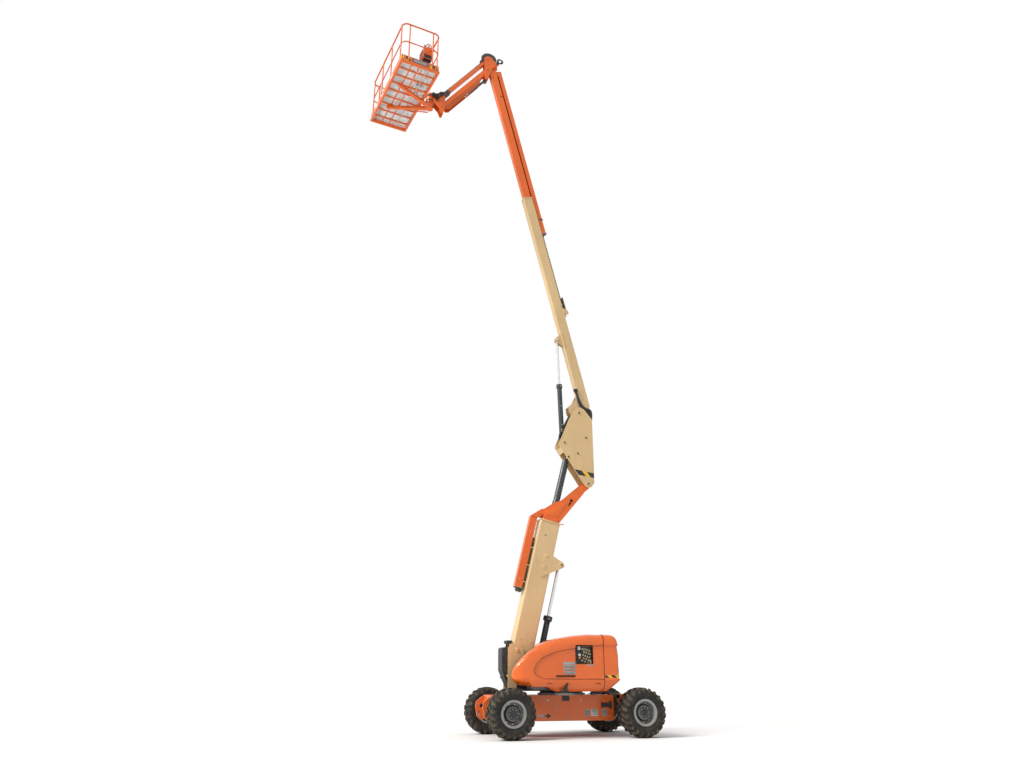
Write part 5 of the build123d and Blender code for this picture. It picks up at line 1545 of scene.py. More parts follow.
class LIFT_OT_upright_fittings(bpy.types.Operator):
    """Makes the upright's pins, bolts, warning stripe, brackets and cable clamps"""

    bl_idname = "lift.upright_fittings"
    bl_label = "Upright fittings"

    def execute(self, context):
        fit = Work("upright_fittings")
        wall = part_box("upright")[1].y - 0.008
        tip = (TOWER @ Vector((3.53, 0, -0.732))).xz
        for x, z, radius in ((0.478, 6.26, 0.028), (0.140, 5.58, 0.026), (0.215, 5.28, 0.026), (*tip, 0.028)):
            for hand in SIDES:
                pin = Matrix.Translation((x, 0, z)) @ mirrored(hand)
                fit.rod((0, wall - 0.001, 0), (0, wall + 0.009, 0), radius + 0.010, "tan_enamel", 28, pin, 0.003)
                fit.bolt((0, wall + 0.008, 0), (0, 1, 0), 0.017, "black_bracket", pin)
        for hand in SIDES:
            flip = mirrored(hand)
            low, high = wall - 0.001, wall + 0.0012
            fit.plate(
                [(0.344, 5.026), (0.500, 5.004), (0.592, 4.890), (0.430, 4.912)], low, high, "black_bracket", flip,
            )
            fit.plate(
                [(0.500, 5.004), (0.612, 4.988), (0.690, 4.878), (0.592, 4.890)], low, high, "plate_yellow", flip,
            )
            fit.plate(
                [(0.612, 4.988), (0.768, 4.966), (0.768, 4.868), (0.690, 4.878)], low, high, "black_bracket", flip,
            )
            for x, z in ((0.428, 5.366), (0.62, 5.72)):
                fit.bolt((x, wall, z), (0, 1, 0), 0.017, "black_bracket", flip)
        for y in (-0.124, 0.108):
            fit.plate(
                [(0.020, 5.535), (0.112, 5.585), (0.215, 5.42), (0.128, 5.36)], y, y + 0.016, "tan_enamel",
                bevel=0.003,
            )
        # Hoses that run down inside the upright's edge
        for y, shift in ((-0.06, 0.0), (-0.03, 0.012), (0.0, 0.0), (0.03, 0.012)):
            fit.pipe(
                (
                    (0.300 + shift, y, 6.20), (0.225 + shift, y, 6.06), (0.160 + shift, y, 5.93),
                    (0.085 + shift, y, 5.80), (0.07 + shift, y, 5.70),
                ),
                0.014, "hose_black",
            )
        fit.box((0.10, -0.08, 5.84), (0.18, 0.05, 5.89), "black_bracket", bevel=0.006)
        for z in (5.2, 5.6, 5.95):
            fit.box((0.7565, -0.09, z), (0.7715, 0.09, z + 0.02), "tan_enamel", bevel=0.003)
        fit.done("upright_post")
        return {"FINISHED"}


class LIFT_OT_cylinder_fittings(bpy.types.Operator):
    """Makes the lift cylinders' glands, ports, pipes, bands and valve blocks"""

    bl_idname = "lift.cylinder_fittings"
    bl_label = "Cylinder fittings"

    def execute(self, context):
        for tag, radius, rod, length, foot, side in (
            ("tower", 0.058, 0.032, 1.140, 0.10, 1), ("level", 0.064, 0.034, 1.008, 0.10, -1),
            ("main", 0.052, 0.026, 1.330, 0.09, -1), ("jib", 0.027, 0.015, 0.665, 0.05, 1),
        ):
            base = Vector(joints[f"{tag}_barrel_swing"]["pos_m"])
            base.y = 0
            along = Vector(joints[f"{tag}_rod_slide"]["axis"]).normalized()
            mid = (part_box(f"{tag}_cylinder_rod")[0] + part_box(f"{tag}_cylinder_rod")[1]) / 2
            if along.dot(mid - base) < 0:
                along = -along
            place = aimed(PLAIN, base, along, "X")
            stand = place @ AHEAD
            fit = Work(f"{tag}_cylinder_fittings")
            if tag == "level" or tag in ("tower", "main") and (place.to_3x3() @ Vector((0, 0, 1))).x < 0:
                side = -side
            finish = "black_casting" if tag == "tower" else "slate_paint"
            gap = rod + 0.0015
            big = {"tower": 1.5 * radius, "main": 1.24 * radius}.get(tag, radius + 0.001)
            top = length - (0.015 if tag == "level" else 0)
            fit.lathe(
                (
                    (radius, top - 0.085), (big - 0.003, top - 0.085), (big, top - 0.081), (big, top - 0.006),
                    (big - 0.006, top), (rod + 0.012, top), (gap + 0.002, top + 0.004), (gap, top + 0.001),
                    (gap, top - 0.004), (radius, top - 0.01),
                ),
                stand, finish, 40,
            )
            if tag != "level":
                ring = (
                    (radius - 0.001, foot), (radius + 0.006, foot), (radius + 0.006, foot + 0.03),
                    (radius - 0.001, foot + 0.034),
                )
                fit.lathe(ring, stand, finish, 36)
            reach = radius + (0.0055 if tag == "level" else 0.011)
            lines = place @ INWARD if tag == "level" else place
            fit.pipe(
                (
                    (foot + 0.05, 0, side * reach), (0.35 * top, 0, side * reach), (0.7 * top, 0, side * reach),
                    (top - 0.10, 0, side * reach),
                ),
                0.08 * radius if tag == "level" else 0.13 * radius, "slate_paint", 8, lines, smooth=False,
            )
            for s in (0.3 * top, 0.62 * top):
                fit.box(
                    (s, -0.25 * radius, side * (radius - 0.004)), (s + 0.02, 0.25 * radius, side * (reach + 0.006)),
                    "zinc", lines, 0.002,
                )
            if tag in ("tower", "main"):
                fit.rod(
                    (top - 0.055, 0, side * (big - 0.006)), (top - 0.055, 0, side * (big + 0.018)), 0.22 * radius,
                    "zinc", 14, place,
                )
            if tag == "level":
                flipped = place @ Matrix.Scale(-1, 4, (0, 0, 1))
                fit.box(
                    (0.10, -0.035, -radius - 0.022), (0.34, 0.035, -radius + 0.012), "black_bracket", flipped, 0.008,
                )
                for s in (0.13, 0.20, 0.27):
                    fit.rod((s, 0, -radius - 0.02), (s, 0, -radius - 0.032), 0.018, "zinc", 16, flipped)
                    fit.pipe(
                        (
                            (s, 0.0, -radius - 0.024), (s + 0.05, 0.02, -radius - 0.028),
                            (s + 0.12, 0.035, -radius - 0.010), (s + 0.14, 0.040, -radius + 0.02),
                        ),
                        0.008, "hose_black", 8, flipped,
                    )
            if tag == "tower":
                fit.box(
                    (0.16, -0.036, side * (radius - 0.006)), (top - 0.14, 0.036, side * (radius + 0.030)),
                    "black_casting", place, 0.012,
                )
                for y in (-0.022, 0.0, 0.022):
                    fit.pipe(
                        (
                            (top - 0.16, y, side * (radius + 0.022)), (top - 0.10, y, side * (radius + 0.045)),
                            (top - 0.05, y, side * (big + 0.008)),
                        ),
                        0.009, "hose_black", 8, place,
                    )
            if tag in ("tower", "main"):
                fit.box(
                    (foot + 0.035, -0.03, side * (radius - 0.01)), (foot + 0.12, 0.03, side * (radius + 0.045)),
                    "black_bracket", place, 0.006,
                )
                fit.pipe(
                    (
                        (foot + 0.08, 0, side * (radius + 0.04)), (foot + 0.04, 0.01, side * (radius + 0.075)),
                        (foot - 0.05, 0.03, side * (radius + 0.06)), (foot - 0.10, 0.05, side * radius),
                    ),
                    0.009, "hose_black", 8, place,
                )
            fit.done(f"{tag}_barrel")
        return {"FINISHED"}


class LIFT_OT_main_fittings(bpy.types.Operator):
    """Makes the main boom's bolts, pads and brackets, and the bands round its push tube"""

    bl_idname = "lift.main_fittings"
    bl_label = "Main boom fittings"

    def execute(self, context):
        half = 0.08
        fit = Work("main_fittings", MAIN)
        for hand in SIDES:
            flip = mirrored(hand)
            wall = half + 0.014
            for s, z in ((0.30, 0.20), (0.30, 0.06), (0.16, 0.24), (0.12, -0.12)):
                fit.bolt((s, wall, z), (0, 1, 0), 0.011, "tan_enamel", flip)
            fit.plate(
                [(0.43, 0.14), (0.62, 0.14), (0.62, 0.155), (0.43, 0.165)], half - 0.001, half + 0.008, "tan_enamel",
                flip, 0.002,
            )
            for s in (5.10, 5.18, 5.26):
                for z in (0.145, 0.285):
                    fit.bolt((s, half, z), (0, 1, 0), 0.008, "tan_enamel", flip)
            fit.box((5.292, half - 0.014, 0.115), (5.312, half + 0.012, 0.318), "tan_enamel", flip, 0.003)
            fit.rod((1.729, 0.048, 0.011), (1.729, 0.062, 0.011), 0.040, "tan_enamel", 28, flip, 0.003)
            fit.rod((1.729, 0.060, 0.011), (1.729, 0.072, 0.011), 0.024, "zinc", 24, flip, 0.003)
            fit.plate(
                [(1.50, 0.112), (1.90, 0.112), (1.86, 0.150), (1.54, 0.150)], half - 0.001, half + 0.006,
                "tan_enamel", flip, 0.002,
            )
        for s in (5.16, 5.25):
            for y in (-0.045, 0.045):
                fit.bolt((s, y, 0.325), (0, 0, 1), 0.009, "zinc")
                fit.bolt((s, y, 0.105), (0, 0, -1), 0.009, "zinc")
        for y in (0.058, -0.082):
            fit.box((2.27, y, 0.300), (2.44, y + 0.024, 0.352), "tan_enamel", bevel=0.004)
        for y in (0.062, -0.072):
            bracket = [(2.29, 0.35), (2.29, 0.425), (2.36, 0.43), (2.43, 0.40), (2.43, 0.35)]
            fit.plate(bracket, y, y + 0.010, "tan_enamel", bevel=0.002)
        fit.done("main_boom")

        tube = Work("main_push_fittings", MAIN)
        for s in (4.42, 5.6, 6.8, 8.0, 8.7):
            for hand in SIDES:
                tube.bolt((s, hand * 0.046, 0.39), (0, hand, 0), 0.008, "zinc")
        tube.box((4.70, -0.054, 0.352), (4.745, 0.054, 0.448), "black_bracket", bevel=0.004)
        tube.box((4.345, -0.05, 0.352), (4.37, 0.05, 0.452), "black_bracket", bevel=0.004)
        for hand in SIDES:
            flip = mirrored(hand)
            tube.rod((8.149, 0.062, 0.265), (8.149, 0.0635, 0.265), 0.020, "panel_black", 20, flip)
            tube.rod((8.710, 0.052, 0.175), (8.710, 0.0645, 0.175), 0.030, "orange_enamel", 28, flip, 0.001)
            tube.rod((8.710, 0.060, 0.175), (8.710, 0.0655, 0.175), 0.016, "panel_black", 20, flip)
        tube.done("main_inner")
        return {"FINISHED"}


class LIFT_OT_jib_fittings(bpy.types.Operator):
    """Makes the jib's pins, cover, skirt under the arm in darker orange as painted shade, edge strips in lighter
    orange as painted highlight, hose guard and the rotator's fittings
    """

    bl_idname = "lift.jib_fittings"
    bl_label = "Jib fittings"

    def execute(self, context):
        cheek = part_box("jib_head")[1].y - 0.008
        head = Work("jib_head_fittings")
        nose = (MAIN @ Vector((9.037, 0, 0.298))).xz
        arm, link = JIB.translation.xz, LINK.translation.xz
        for at, radius in ((nose, 0.025), (arm, 0.020), (link, 0.020)):
            capped_pin(head, at, radius, cheek - 0.001, PLAIN, "orange_enamel")
        # Hose guard that arches over the head, and the hoses beneath it
        arch = [
            (link.x + 0.035 + radius * 1.04 * math.cos(t), link.y - 0.005 + radius * math.sin(t))
            for radius, turns in (
                (0.187, spread(-0.15, math.pi + 0.25, 15)), (0.106, spread(math.pi + 0.25, -0.15, 15)),
            )
            for t in turns
        ]
        for hand in SIDES:
            head.plate(arch, hand * 0.0800, hand * 0.0925, "black_bracket", bevel=0.003)
        for turn in (0.0, 0.32, 0.64, 0.96):
            x, z = link.x + 0.035 + 0.166 * math.cos(turn), link.y - 0.005 + 0.160 * math.sin(turn)
            head.rod((x, -0.081, z), (x, 0.081, z), 0.020, "hose_black", 14)
        # Rings that gather the hoses beside the head
        for s, z, y in ((9.15, 0.440, 0.112), (9.12, 0.455, 0.128)):
            ring = MAIN @ Matrix.Translation((s, y, z)) @ INWARD
            loop = [(0.058 + 0.013 * math.cos(t), 0.011 * math.sin(t)) for t in spread(0, 2 * math.pi, 11)[:-1]]
            head.lathe(loop, ring, "hose_black", 32)
        head.box((9.04, 0.086, 0.34), (9.14, 0.106, 0.41), "black_bracket", MAIN, 0.006)
        for hand in SIDES:
            flip = mirrored(hand)
            for x, z in (
                (link.x + 0.06, link.y + 0.03), (arm.x - 0.02, arm.y - 0.14), (nose.x - 0.01, nose.y + 0.05),
            ):
                head.bolt((x, cheek, z), (0, 1, 0), 0.009, "orange_enamel", flip)
        head.done("head")

        jib = Work("jib_arm_fittings", JIB)
        for hand in SIDES:
            flip = mirrored(hand)
            # Strips in lighter orange along the arm's upper and lower edges: painted highlight
            jib.box((0.24, 0.074, 0.040), (1.54, 0.0765, 0.052), "orange_bright", flip, 0.002)
            jib.box((0.24, 0.074, -0.054), (1.54, 0.0765, -0.044), "orange_bright", flip, 0.002)
            jib.rod((1.0, 0.038, -0.125), (1.0, 0.048, -0.125), 0.030, "black_bracket", 24, flip, 0.003)
        for hand in SIDES:
            # Skirt plates under the arm in darker orange: painted shade for its shaded underside
            skirt = [(0.36, -0.058), (1.70, -0.058), (1.70, -0.110), (1.64, -0.155), (0.50, -0.155), (0.40, -0.110)]
            jib.plate(skirt, hand * 0.066, hand * 0.0735, "orange_shade", bevel=0.002)
        jib.done("jib")

        tie = Work("jib_link_fittings", LINK)
        for low, high in (
            ((1.48, -0.060, 0.036), (1.69, 0.060, 0.050)), ((1.48, -0.060, -0.050), (1.69, 0.060, -0.036)),
            ((1.48, 0.052, -0.050), (1.69, 0.062, 0.050)), ((1.48, -0.062, -0.050), (1.69, -0.052, 0.050)),
        ):
            tie.box(low, high, "black_bracket", bevel=0.003)
        tie.box((-0.06, -0.052, 0.036), (0.10, 0.052, 0.052), "black_bracket", bevel=0.004)
        for y in (-0.034, -0.012, 0.012, 0.034):
            tie.pipe(
                ((-0.04, y, 0.058), (0.30, y, 0.050), (0.9, y, 0.048), (1.45, y, 0.048), (1.66, y, 0.058)), 0.009,
                "hose_black", 8,
            )
        for s in (0.35, 0.95, 1.40):
            tie.box((s - 0.012, -0.052, 0.036), (s + 0.012, 0.052, 0.062), "zinc", bevel=0.003)
        for hand in SIDES:
            for z in (-0.03, 0.03):
                tie.bolt((1.52, hand * 0.062, z), (0, hand, 0), 0.007, "zinc")
        tie.done("jib_tie")

        base = Work("support_fittings")
        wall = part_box("platform_support")[1].y - 0.008
        end, upper = (JIB @ Vector((1.74, 0, 0))).xz, (LINK @ Vector((1.74, 0, 0))).xz
        for at in (end, upper):
            capped_pin(base, at, 0.020, wall - 0.001, PLAIN, "orange_enamel")
        turn = joints["platform_rotate"]["pos_m"][0]
        stand = Matrix.Translation((turn, 0, 0))
        base.lathe(((0.096, 13.69), (0.104, 13.69), (0.104, 13.72), (0.096, 13.724)), stand, "black_casting", 40)
        base.lathe(((0.096, 13.83), (0.106, 13.83), (0.106, 13.862), (0.096, 13.866)), stand, "black_casting", 40)
        for t in spread(0.2, 2 * math.pi + 0.2, 9)[:-1]:
            base.bolt(
                (0.100 * math.cos(t), 0.100 * math.sin(t), 13.845), (math.cos(t), math.sin(t), 0), 0.006, "zinc",
                stand,
            )
        cover = [
            (upper.x + 0.085, upper.y + 0.035), (upper.x + 0.040, upper.y + 0.088), (upper.x - 0.05, upper.y + 0.095),
            (turn + 0.17, 13.918), (turn + 0.055, 13.905), (turn + 0.055, 13.865), (turn + 0.16, 13.870),
            (upper.x - 0.05, upper.y + 0.045),
        ]
        for hand in SIDES:
            base.plate(cover, hand * 0.080, hand * 0.104, "black_bracket", bevel=0.006)
        for hand in SIDES:
            base.box((turn + 0.10, 0.080, 13.70), (turn + 0.20, 0.108, 13.80), "black_bracket", mirrored(hand), 0.010)
        base.pipe(
            (
                (turn + 0.01, -0.092, 13.86), (turn + 0.05, -0.120, 13.81), (turn + 0.11, -0.112, 13.78),
                (turn + 0.15, -0.085, 13.80),
            ),
            0.011, "hose_black", 10,
        )
        for y, drop in ((-0.128, 0.0), (-0.118, 0.035), (-0.130, 0.060)):
            base.pipe(
                (
                    (upper.x + 0.03, y + 0.02, upper.y + 0.07 - drop), (upper.x - 0.07, y, upper.y + 0.01 - drop),
                    (turn + 0.20, y, 13.87 - drop), (turn + 0.12, y, 13.86 - drop),
                    (turn + 0.04, y + 0.01, 13.90 - drop),
                ),
                0.020, "hose_black", 12,
            )
        base.done("support")
        return {"FINISHED"}


# The platform's floor in its own frame: its long sides, its ends, its underside and top, and the rails over it
DECK_OUTER, DECK_INNER, DECK_HALF = -1.102, -0.198, 1.122
DECK_BOTTOM, DECK_TOP = 13.570, 13.626
RAIL_TOP, RAIL_RADIUS = DECK_TOP + 1.046, 0.017


class LIFT_OT_platform_floor(bpy.types.Operator):
    """Makes the platform's floor: an expanded mesh on crossed bars in a tube frame"""

    bl_idname = "lift.platform_floor"
    bl_label = "Platform floor"

    def execute(self, context):
        pitch = context.scene.lift_sizes.floor_pitch
        outer, inner, half, bottom, top = DECK_OUTER, DECK_INNER, DECK_HALF, DECK_BOTTOM, DECK_TOP
        floor = Work("platform_grating", PLATFORM)
        for low, high in (
            ((outer, -half), (inner, -half + 0.05)), ((outer, half - 0.05), (inner, half)),
            ((outer, -half + 0.05), (outer + 0.05, half - 0.05)),
            ((inner - 0.05, -half + 0.05), (inner, half - 0.05)),
        ):
            floor.box((*low, bottom), (*high, top - 0.002), "orange_enamel", bevel=0.006)
        for y in spread(-half, half, 10)[1:-1]:
            floor.box(
                (outer + 0.045, y - 0.016, bottom + 0.018), (inner - 0.045, y + 0.016, top - 0.012), "orange_enamel",
                bevel=0.003,
            )
        for x in (-0.82, -0.65, -0.48):
            floor.box(
                (x - 0.011, -half + 0.045, bottom + 0.022), (x + 0.011, half - 0.045, top - 0.013), "orange_enamel",
                bevel=0.002,
            )
        # One diamond of the mesh
        wide, long, strand, thick = pitch, 0.8 * pitch, 0.0068, 0.006
        across = math.floor((inner - outer - 0.1) / wide)
        along = math.floor((2 * half - 0.1) / long)
        start = Matrix.Translation(
            (outer + 0.05 + ((inner - outer - 0.1) - across * wide) / 2, -half + 0.05, top - 0.010)
        )
        cell = Work("cell", PLATFORM @ start)
        corners = ((wide / 2, 0), (wide, long / 2), (wide / 2, long), (0, long / 2))
        for (xa, ya), (xb, yb) in zip(corners, corners[1:] + corners[:1]):
            run = Vector((xb - xa, yb - ya))
            side = Vector((-run.y, run.x)).normalized() * strand
            points = []
            for z in (0, thick):
                for x, y in ((xa, ya), (xb, yb)):
                    points += [(x - side.x, y - side.y, z), (x + side.x, y + side.y, z)]
            cell.faces(points, BOX_FACES, "floor_mesh")
        turn = PLATFORM.to_3x3()
        made = repeat(
            cell, row_tree(), "floor_mesh", Count=across, Step=turn @ Vector((wide, 0, 0)), Columns=along,
            Column_step=turn @ Vector((0, long, 0)),
        )
        made.transform(PLATFORM.inverted())
        floor.take(made, "floor_mesh")
        floor.done("platform", ["platform_floor"])
        return {"FINISHED"}


class LIFT_OT_platform_fittings(bpy.types.Operator):
    """Makes the toe boards' stripes and plates, the rails' collars, the gate's latch and the fittings beneath"""

    bl_idname = "lift.platform_fittings"
    bl_label = "Platform fittings"

    def execute(self, context):
        outer, inner, half, bottom, top = DECK_OUTER, DECK_INNER, DECK_HALF, DECK_BOTTOM, DECK_TOP
        toe_x0, toe_x1, toe_y = outer + 0.019, inner - 0.019, half - 0.019
        fit = Work("platform_fittings", PLATFORM)
        # Bent corner plates between the toe boards, with stripes
        for sx, x in ((-1, toe_x0), (1, toe_x1)):
            for sy in SIDES:
                y = sy * toe_y
                bend = [(x - sx * 0.10, y)] + [
                    (x - sx * 0.055 + sx * 0.062 * math.sin(t), y - sy * 0.055 + sy * 0.062 * math.cos(t))
                    for t in spread(0, math.pi / 2, 7)
                ] + [(x, y - sy * 0.10)]
                points = [(px, py, z) for z in (top + 0.004, top + 0.138) for px, py in bend]
                fit.faces(points, grid_faces(2, len(bend)), "orange_enamel")
                pad = 0.0026
                for (ax, ay), (bx, by) in (
                    ((x - sx * 0.20, y), (x - sx * 0.10, y)), ((x, y - sy * 0.20), (x, y - sy * 0.10)),
                ):
                    out_x, out_y = (0, sy * pad) if ay == by else (sx * pad, 0)
                    fit.box((min(ax, bx) + out_x - 0.0004, min(ay, by) + out_y - 0.0004, top + 0.012),
                            (max(ax, bx) + out_x + 0.0004, max(ay, by) + out_y + 0.0004, top + 0.13), "stripes_toe")
                curve = [
                    (x - sx * 0.055 + sx * 0.0646 * math.sin(t), y - sy * 0.055 + sy * 0.0646 * math.cos(t))
                    for t in spread(0, math.pi / 2, 7)
                ]
                points = [(px, py, z) for z in (top + 0.012, top + 0.130) for px, py in curve]
                fit.faces(points, grid_faces(2, 7), "stripes_toe")
        # Blank plates
        fit.box(
            (toe_x0 + 0.25, -toe_y - 0.0045, top + 0.02), (toe_x1 - 0.25, -toe_y - 0.0015, top + 0.125),
            "plate_slate", bevel=0.001,
        )
        fit.box(
            (toe_x0 + 0.275, -toe_y - 0.0052, top + 0.035), (toe_x1 - 0.275, -toe_y - 0.0042, top + 0.11),
            "plate_grey", bevel=0.0004,
        )
        for y in (-0.5, 0.2, 0.6):
            fit.box(
                (toe_x0 - 0.0042, y, top + 0.03), (toe_x0 - 0.0018, y + 0.16, top + 0.11), "plate_white", bevel=0.001,
            )
        # Rail collars and clamps
        for x in (toe_x0, toe_x1):
            for y in (-0.96, -0.33, 0.33, 0.96):
                fit.rod((x, y, top), (x, y, top + 0.012), 0.026, "rail_enamel", 20)
                for dy in (-0.02, 0.02):
                    fit.rod((x, y + dy, top + 0.53), (x, y + dy * 0.4, top + 0.53), 0.017, "rail_enamel", 14)
        # Bolts that hold the floor
        for x in (outer + 0.025, inner - 0.025):
            for y in spread(-1.0, 1.0, 7):
                fit.bolt((x, y, top - 0.002), (0, 0, 1), 0.009, "zinc")
        # Gussets, pads and pin of the two arms beneath
        for hand in SIDES:
            fit.plate(
                [(-0.04, bottom - 0.058), (-0.35, bottom - 0.058), (-0.35, bottom - 0.078), (-0.04, bottom - 0.092)],
                hand * 0.10 - 0.005, hand * 0.10 + 0.005, "orange_enamel", Matrix.Rotation(hand * -0.35, 4, "Z"),
                0.002,
            )
            fit.box(
                (-0.92, hand * 0.36, bottom - 0.01), (-0.84, hand * 0.46, bottom + 0.002), "orange_enamel",
                bevel=0.003,
            )
        fit.lathe(
            ((0, 13.905), (0.05, 13.905), (0.05, 13.937), (0.042, 13.945), (0, 13.945)), PLAIN, "black_casting", 32,
            closed=False,
        )
        for t in spread(0, 2 * math.pi, 7)[:-1]:
            fit.bolt((0.062 * math.cos(t), 0.062 * math.sin(t), 13.928), (0, 0, 1), 0.007, "zinc")
        # Foot switch
        fit.box((-0.55, -0.62, top), (-0.37, -0.48, top + 0.018), "black_bracket", bevel=0.006)
        fit.plate(
            [(-0.545, top + 0.016), (-0.545, top + 0.032), (-0.38, top + 0.062), (-0.375, top + 0.05)], -0.61, -0.49,
            "console_orange", bevel=0.003,
        )
        fit.done("platform")

        gate = Work("gate_fittings", PLATFORM)
        gx0, gx1 = toe_x0 + 0.2025, toe_x1 - 0.2025
        for z in (top + 0.30, top + 0.85):
            gate.rod((gx0, toe_y, z), (gx0, toe_y, z + 0.05), 0.022, "zinc", 20)
        gate.box(
            (gx1 - 0.085, toe_y - 0.012, top + 0.56), (gx1 - 0.02, toe_y + 0.012, top + 0.68), "zinc", bevel=0.006,
        )
        gate.rod((gx1 - 0.08, toe_y - 0.03, top + 0.62), (gx1 - 0.08, toe_y + 0.03, top + 0.62), 0.012, "zinc", 16)
        gate.rod((gx1 - 0.05, toe_y, top + 0.68), (gx1 - 0.05, toe_y, top + 0.745), 0.011, "red_knob", 16, edge=0.004)
        gate.done("gate")
        return {"FINISHED"}


class LIFT_OT_console(bpy.types.Operator):
    """Makes the platform's control console with its joysticks, switches, guard and cables"""

    bl_idname = "lift.console"
    bl_label = "Console"

    def execute(self, context):
        rail = RAIL_TOP - RAIL_RADIUS - 0.05
        inner = DECK_INNER - 0.019
        back = inner - 0.001
        desk = Work("control_console", PLATFORM)
        front, y0, y1 = back - 0.24, -0.70, -0.42
        side = [
            (back, rail - 0.20), (back, rail + 0.02), (back - 0.02, rail + 0.035), (front + 0.015, rail - 0.015),
            (front, rail - 0.035), (front, rail - 0.185), (front + 0.015, rail - 0.20),
        ]
        desk.plate(side, y0, y1, "console_orange", bevel=0.008, steps=3)
        desk.box(
            (front + 0.012, y0 + 0.012, rail - 0.31), (back - 0.012, y1 - 0.012, rail - 0.198), "panel_black",
            bevel=0.010,
        )
        desk.box(
            (front - 0.004, y0 + 0.02, rail - 0.17), (front + 0.002, y1 - 0.02, rail - 0.06), "panel_black",
            bevel=0.002,
        )
        for x in (front + 0.03, back - 0.03):
            for z in (rail - 0.17, rail - 0.05):
                desk.bolt((x, y0, z), (0, -1, 0), 0.006, "zinc")
        middle = (y0 + y1) / 2
        slope = Matrix.Translation(((back + front) / 2, middle, rail + 0.0115)) @ Matrix.Rotation(-0.240, 4, "Y")
        desk.box((-0.095, -0.125, -0.003), (0.095, 0.125, 0.004), "panel_black", slope, 0.002)
        for x, y, tall in ((-0.05, -0.07, 0.10), (0.05, -0.07, 0.10)):
            spot = slope @ Matrix.Translation((x, y, 0))
            desk.lathe(
                ((0, 0.002), (0.028, 0.002), (0.024, 0.012), (0.014, 0.022), (0.009, 0.028), (0, 0.028)), spot,
                "hose_black", 24, False,
            )
            desk.rod((0, 0, 0.02), (0, 0, tall - 0.03), 0.006, "zinc", 12, spot)
            desk.lathe(
                ((0, tall - 0.045), (0.012, tall - 0.04), (0.017, tall - 0.02), (0.015, tall), (0, tall + 0.006)),
                spot, "panel_black", 20, False,
            )
        for i, x in enumerate(spread(-0.075, 0.045, 5)):
            for y in (0.02, 0.075):
                desk.rod((x, y, 0.003), (x, y, 0.007), 0.009, "zinc", 14, slope)
                desk.rod((x, y, 0.006), (x, y + 0.006, 0.025), 0.0032, "zinc", 10, slope)
                desk.box(
                    (x - 0.010, y - 0.022, 0.0038), (x + 0.010, y - 0.014, 0.0048),
                    "plate_yellow" if i % 2 else "plate_white", slope,
                )
        desk.rod((0.075, 0.05, 0.003), (0.075, 0.05, 0.013), 0.022, "plate_yellow", 24, slope)
        desk.rod((0.075, 0.05, 0.013), (0.075, 0.05, 0.031), 0.018, "red_knob", 24, slope, 0.006)
        # Guard bar over the desk, and the hooks that hang it on the rail
        for y in (y0 + 0.04, y1 - 0.04):
            desk.box(
                (back - 0.012, y - 0.02, rail + 0.019), (back + 0.052, y + 0.02, rail + 0.026), "zinc", bevel=0.002,
            )
        desk.pipe(
            (
                (back - 0.03, y0 - 0.012, rail - 0.08), (back - 0.06, y0 - 0.014, rail + 0.04),
                (back - 0.12, y0, rail + 0.10), (back - 0.15, y0 + 0.06, rail + 0.112),
                (back - 0.15, y1 - 0.06, rail + 0.112), (back - 0.12, y1, rail + 0.10),
                (back - 0.06, y1 + 0.014, rail + 0.04), (back - 0.03, y1 + 0.012, rail - 0.08),
            ),
            0.011, "rail_enamel", 12,
        )
        # Cables that drop to the rotator
        for i, y in enumerate((-0.52, -0.48, -0.45)):
            desk.pipe(
                (
                    (back - 0.05, y, rail - 0.30), (back - 0.05, y, rail - 0.36),
                    (back - 0.04 + 0.01 * i, y + 0.03, rail - 0.55), (back - 0.02, y + 0.06, rail - 0.78),
                    (inner - 0.03, y + 0.10, 13.70), (inner - 0.035, y + 0.16, 13.645),
                ),
                0.010 - 0.001 * i, "hose_black", 10,
            )
        desk.done("platform", ["platform_console"])
        return {"FINISHED"}


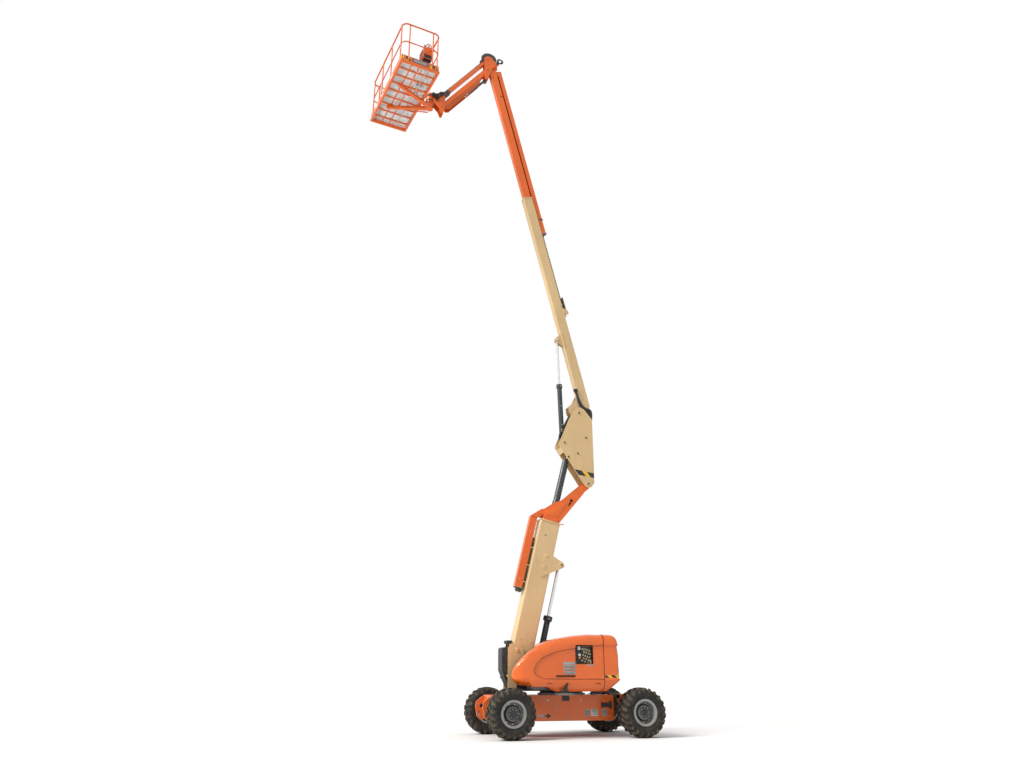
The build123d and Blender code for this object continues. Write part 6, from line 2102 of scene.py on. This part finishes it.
class LIFT_OT_hoses(bpy.types.Operator):
    """Makes the hose bundle that loops from the upright round the main pin to the main boom"""

    bl_idname = "lift.hoses"
    bl_label = "Hoses"

    def execute(self, context):
        for i, (y, shift) in enumerate(((-0.112, -0.02), (-0.120, 0.010), (-0.114, 0.035), (-0.106, 0.060))):
            hose = Work(f"boom_hose_{i + 1}")
            hose.pipe(
                (
                    (0.418 - 0.3 * shift, y, 6.80), (0.462 + 0.1 * shift, y, 6.655), (0.500 + 0.4 * shift, y, 6.52),
                    (0.548 + 0.7 * shift, y, 6.42), (0.610 + 0.9 * shift, y, 6.352 + 0.4 * shift),
                    (0.675 + shift, y * 0.98, 6.318 + 0.7 * shift),
                    (0.730 + 0.7 * shift, y * 0.96, 6.270 + 0.6 * shift), (0.755 + 0.3 * shift, y * 0.94, 6.180),
                    (0.745 + 0.2 * shift, y * 0.92, 6.060), (0.735, y * 0.9, 5.95),
                ),
                0.021, "hose_black", 12,
            )
            piece = hose.done()
            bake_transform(piece)
        clamp = Work("boom_hose_clamps")
        clamp.box((0.385, -0.142, 6.74), (0.470, -0.094, 6.80), "black_bracket", bevel=0.006)
        clamp.done("main_boom")
        return {"FINISHED"}


PIECES = (
    LIFT_OT_finishes,
    LIFT_OT_stage,
    LIFT_OT_tyres,
    LIFT_OT_hubs,
    LIFT_OT_hoods,
    LIFT_OT_tail_covers,
    LIFT_OT_hood_fittings,
    LIFT_OT_chassis_fittings,
    LIFT_OT_front_weight,
    LIFT_OT_engine_bay,
    LIFT_OT_ground_control,
    LIFT_OT_hose_carriers,
    LIFT_OT_tower_fittings,
    LIFT_OT_upright_fittings,
    LIFT_OT_cylinder_fittings,
    LIFT_OT_main_fittings,
    LIFT_OT_jib_fittings,
    LIFT_OT_platform_floor,
    LIFT_OT_platform_fittings,
    LIFT_OT_console,
    LIFT_OT_hoses,
)


class LIFT_PT_panel(bpy.types.Panel):
    """Lists the lift's sizes, colours and pieces"""

    bl_label = "Boom Lift"
    bl_idname = "LIFT_PT_panel"
    bl_space_type = "VIEW_3D"
    bl_region_type = "UI"
    bl_category = "Boom Lift"

    def draw(self, context):
        column = self.layout.column()
        for group in (context.scene.lift_sizes, context.scene.lift_colours):
            for name in group.bl_rna.properties.keys():
                if name not in ("rna_type", "name"):
                    column.prop(group, name)
        for piece in PIECES:
            column.operator(piece.bl_idname)


CLASSES = (LiftSizes, LiftColours, *PIECES, LIFT_PT_panel)


def register():
    for kind in CLASSES:
        bpy.utils.register_class(kind)
    bpy.types.Scene.lift_sizes = PointerProperty(type=LiftSizes)
    bpy.types.Scene.lift_colours = PointerProperty(type=LiftColours)


def unregister():
    del bpy.types.Scene.lift_colours
    del bpy.types.Scene.lift_sizes
    for kind in reversed(CLASSES):
        bpy.utils.unregister_class(kind)


def main():
    register()
    for piece in PIECES:
        group, name = piece.bl_idname.split(".")
        getattr(getattr(bpy.ops, group), name)()


if __name__ == "__main__":
    main()
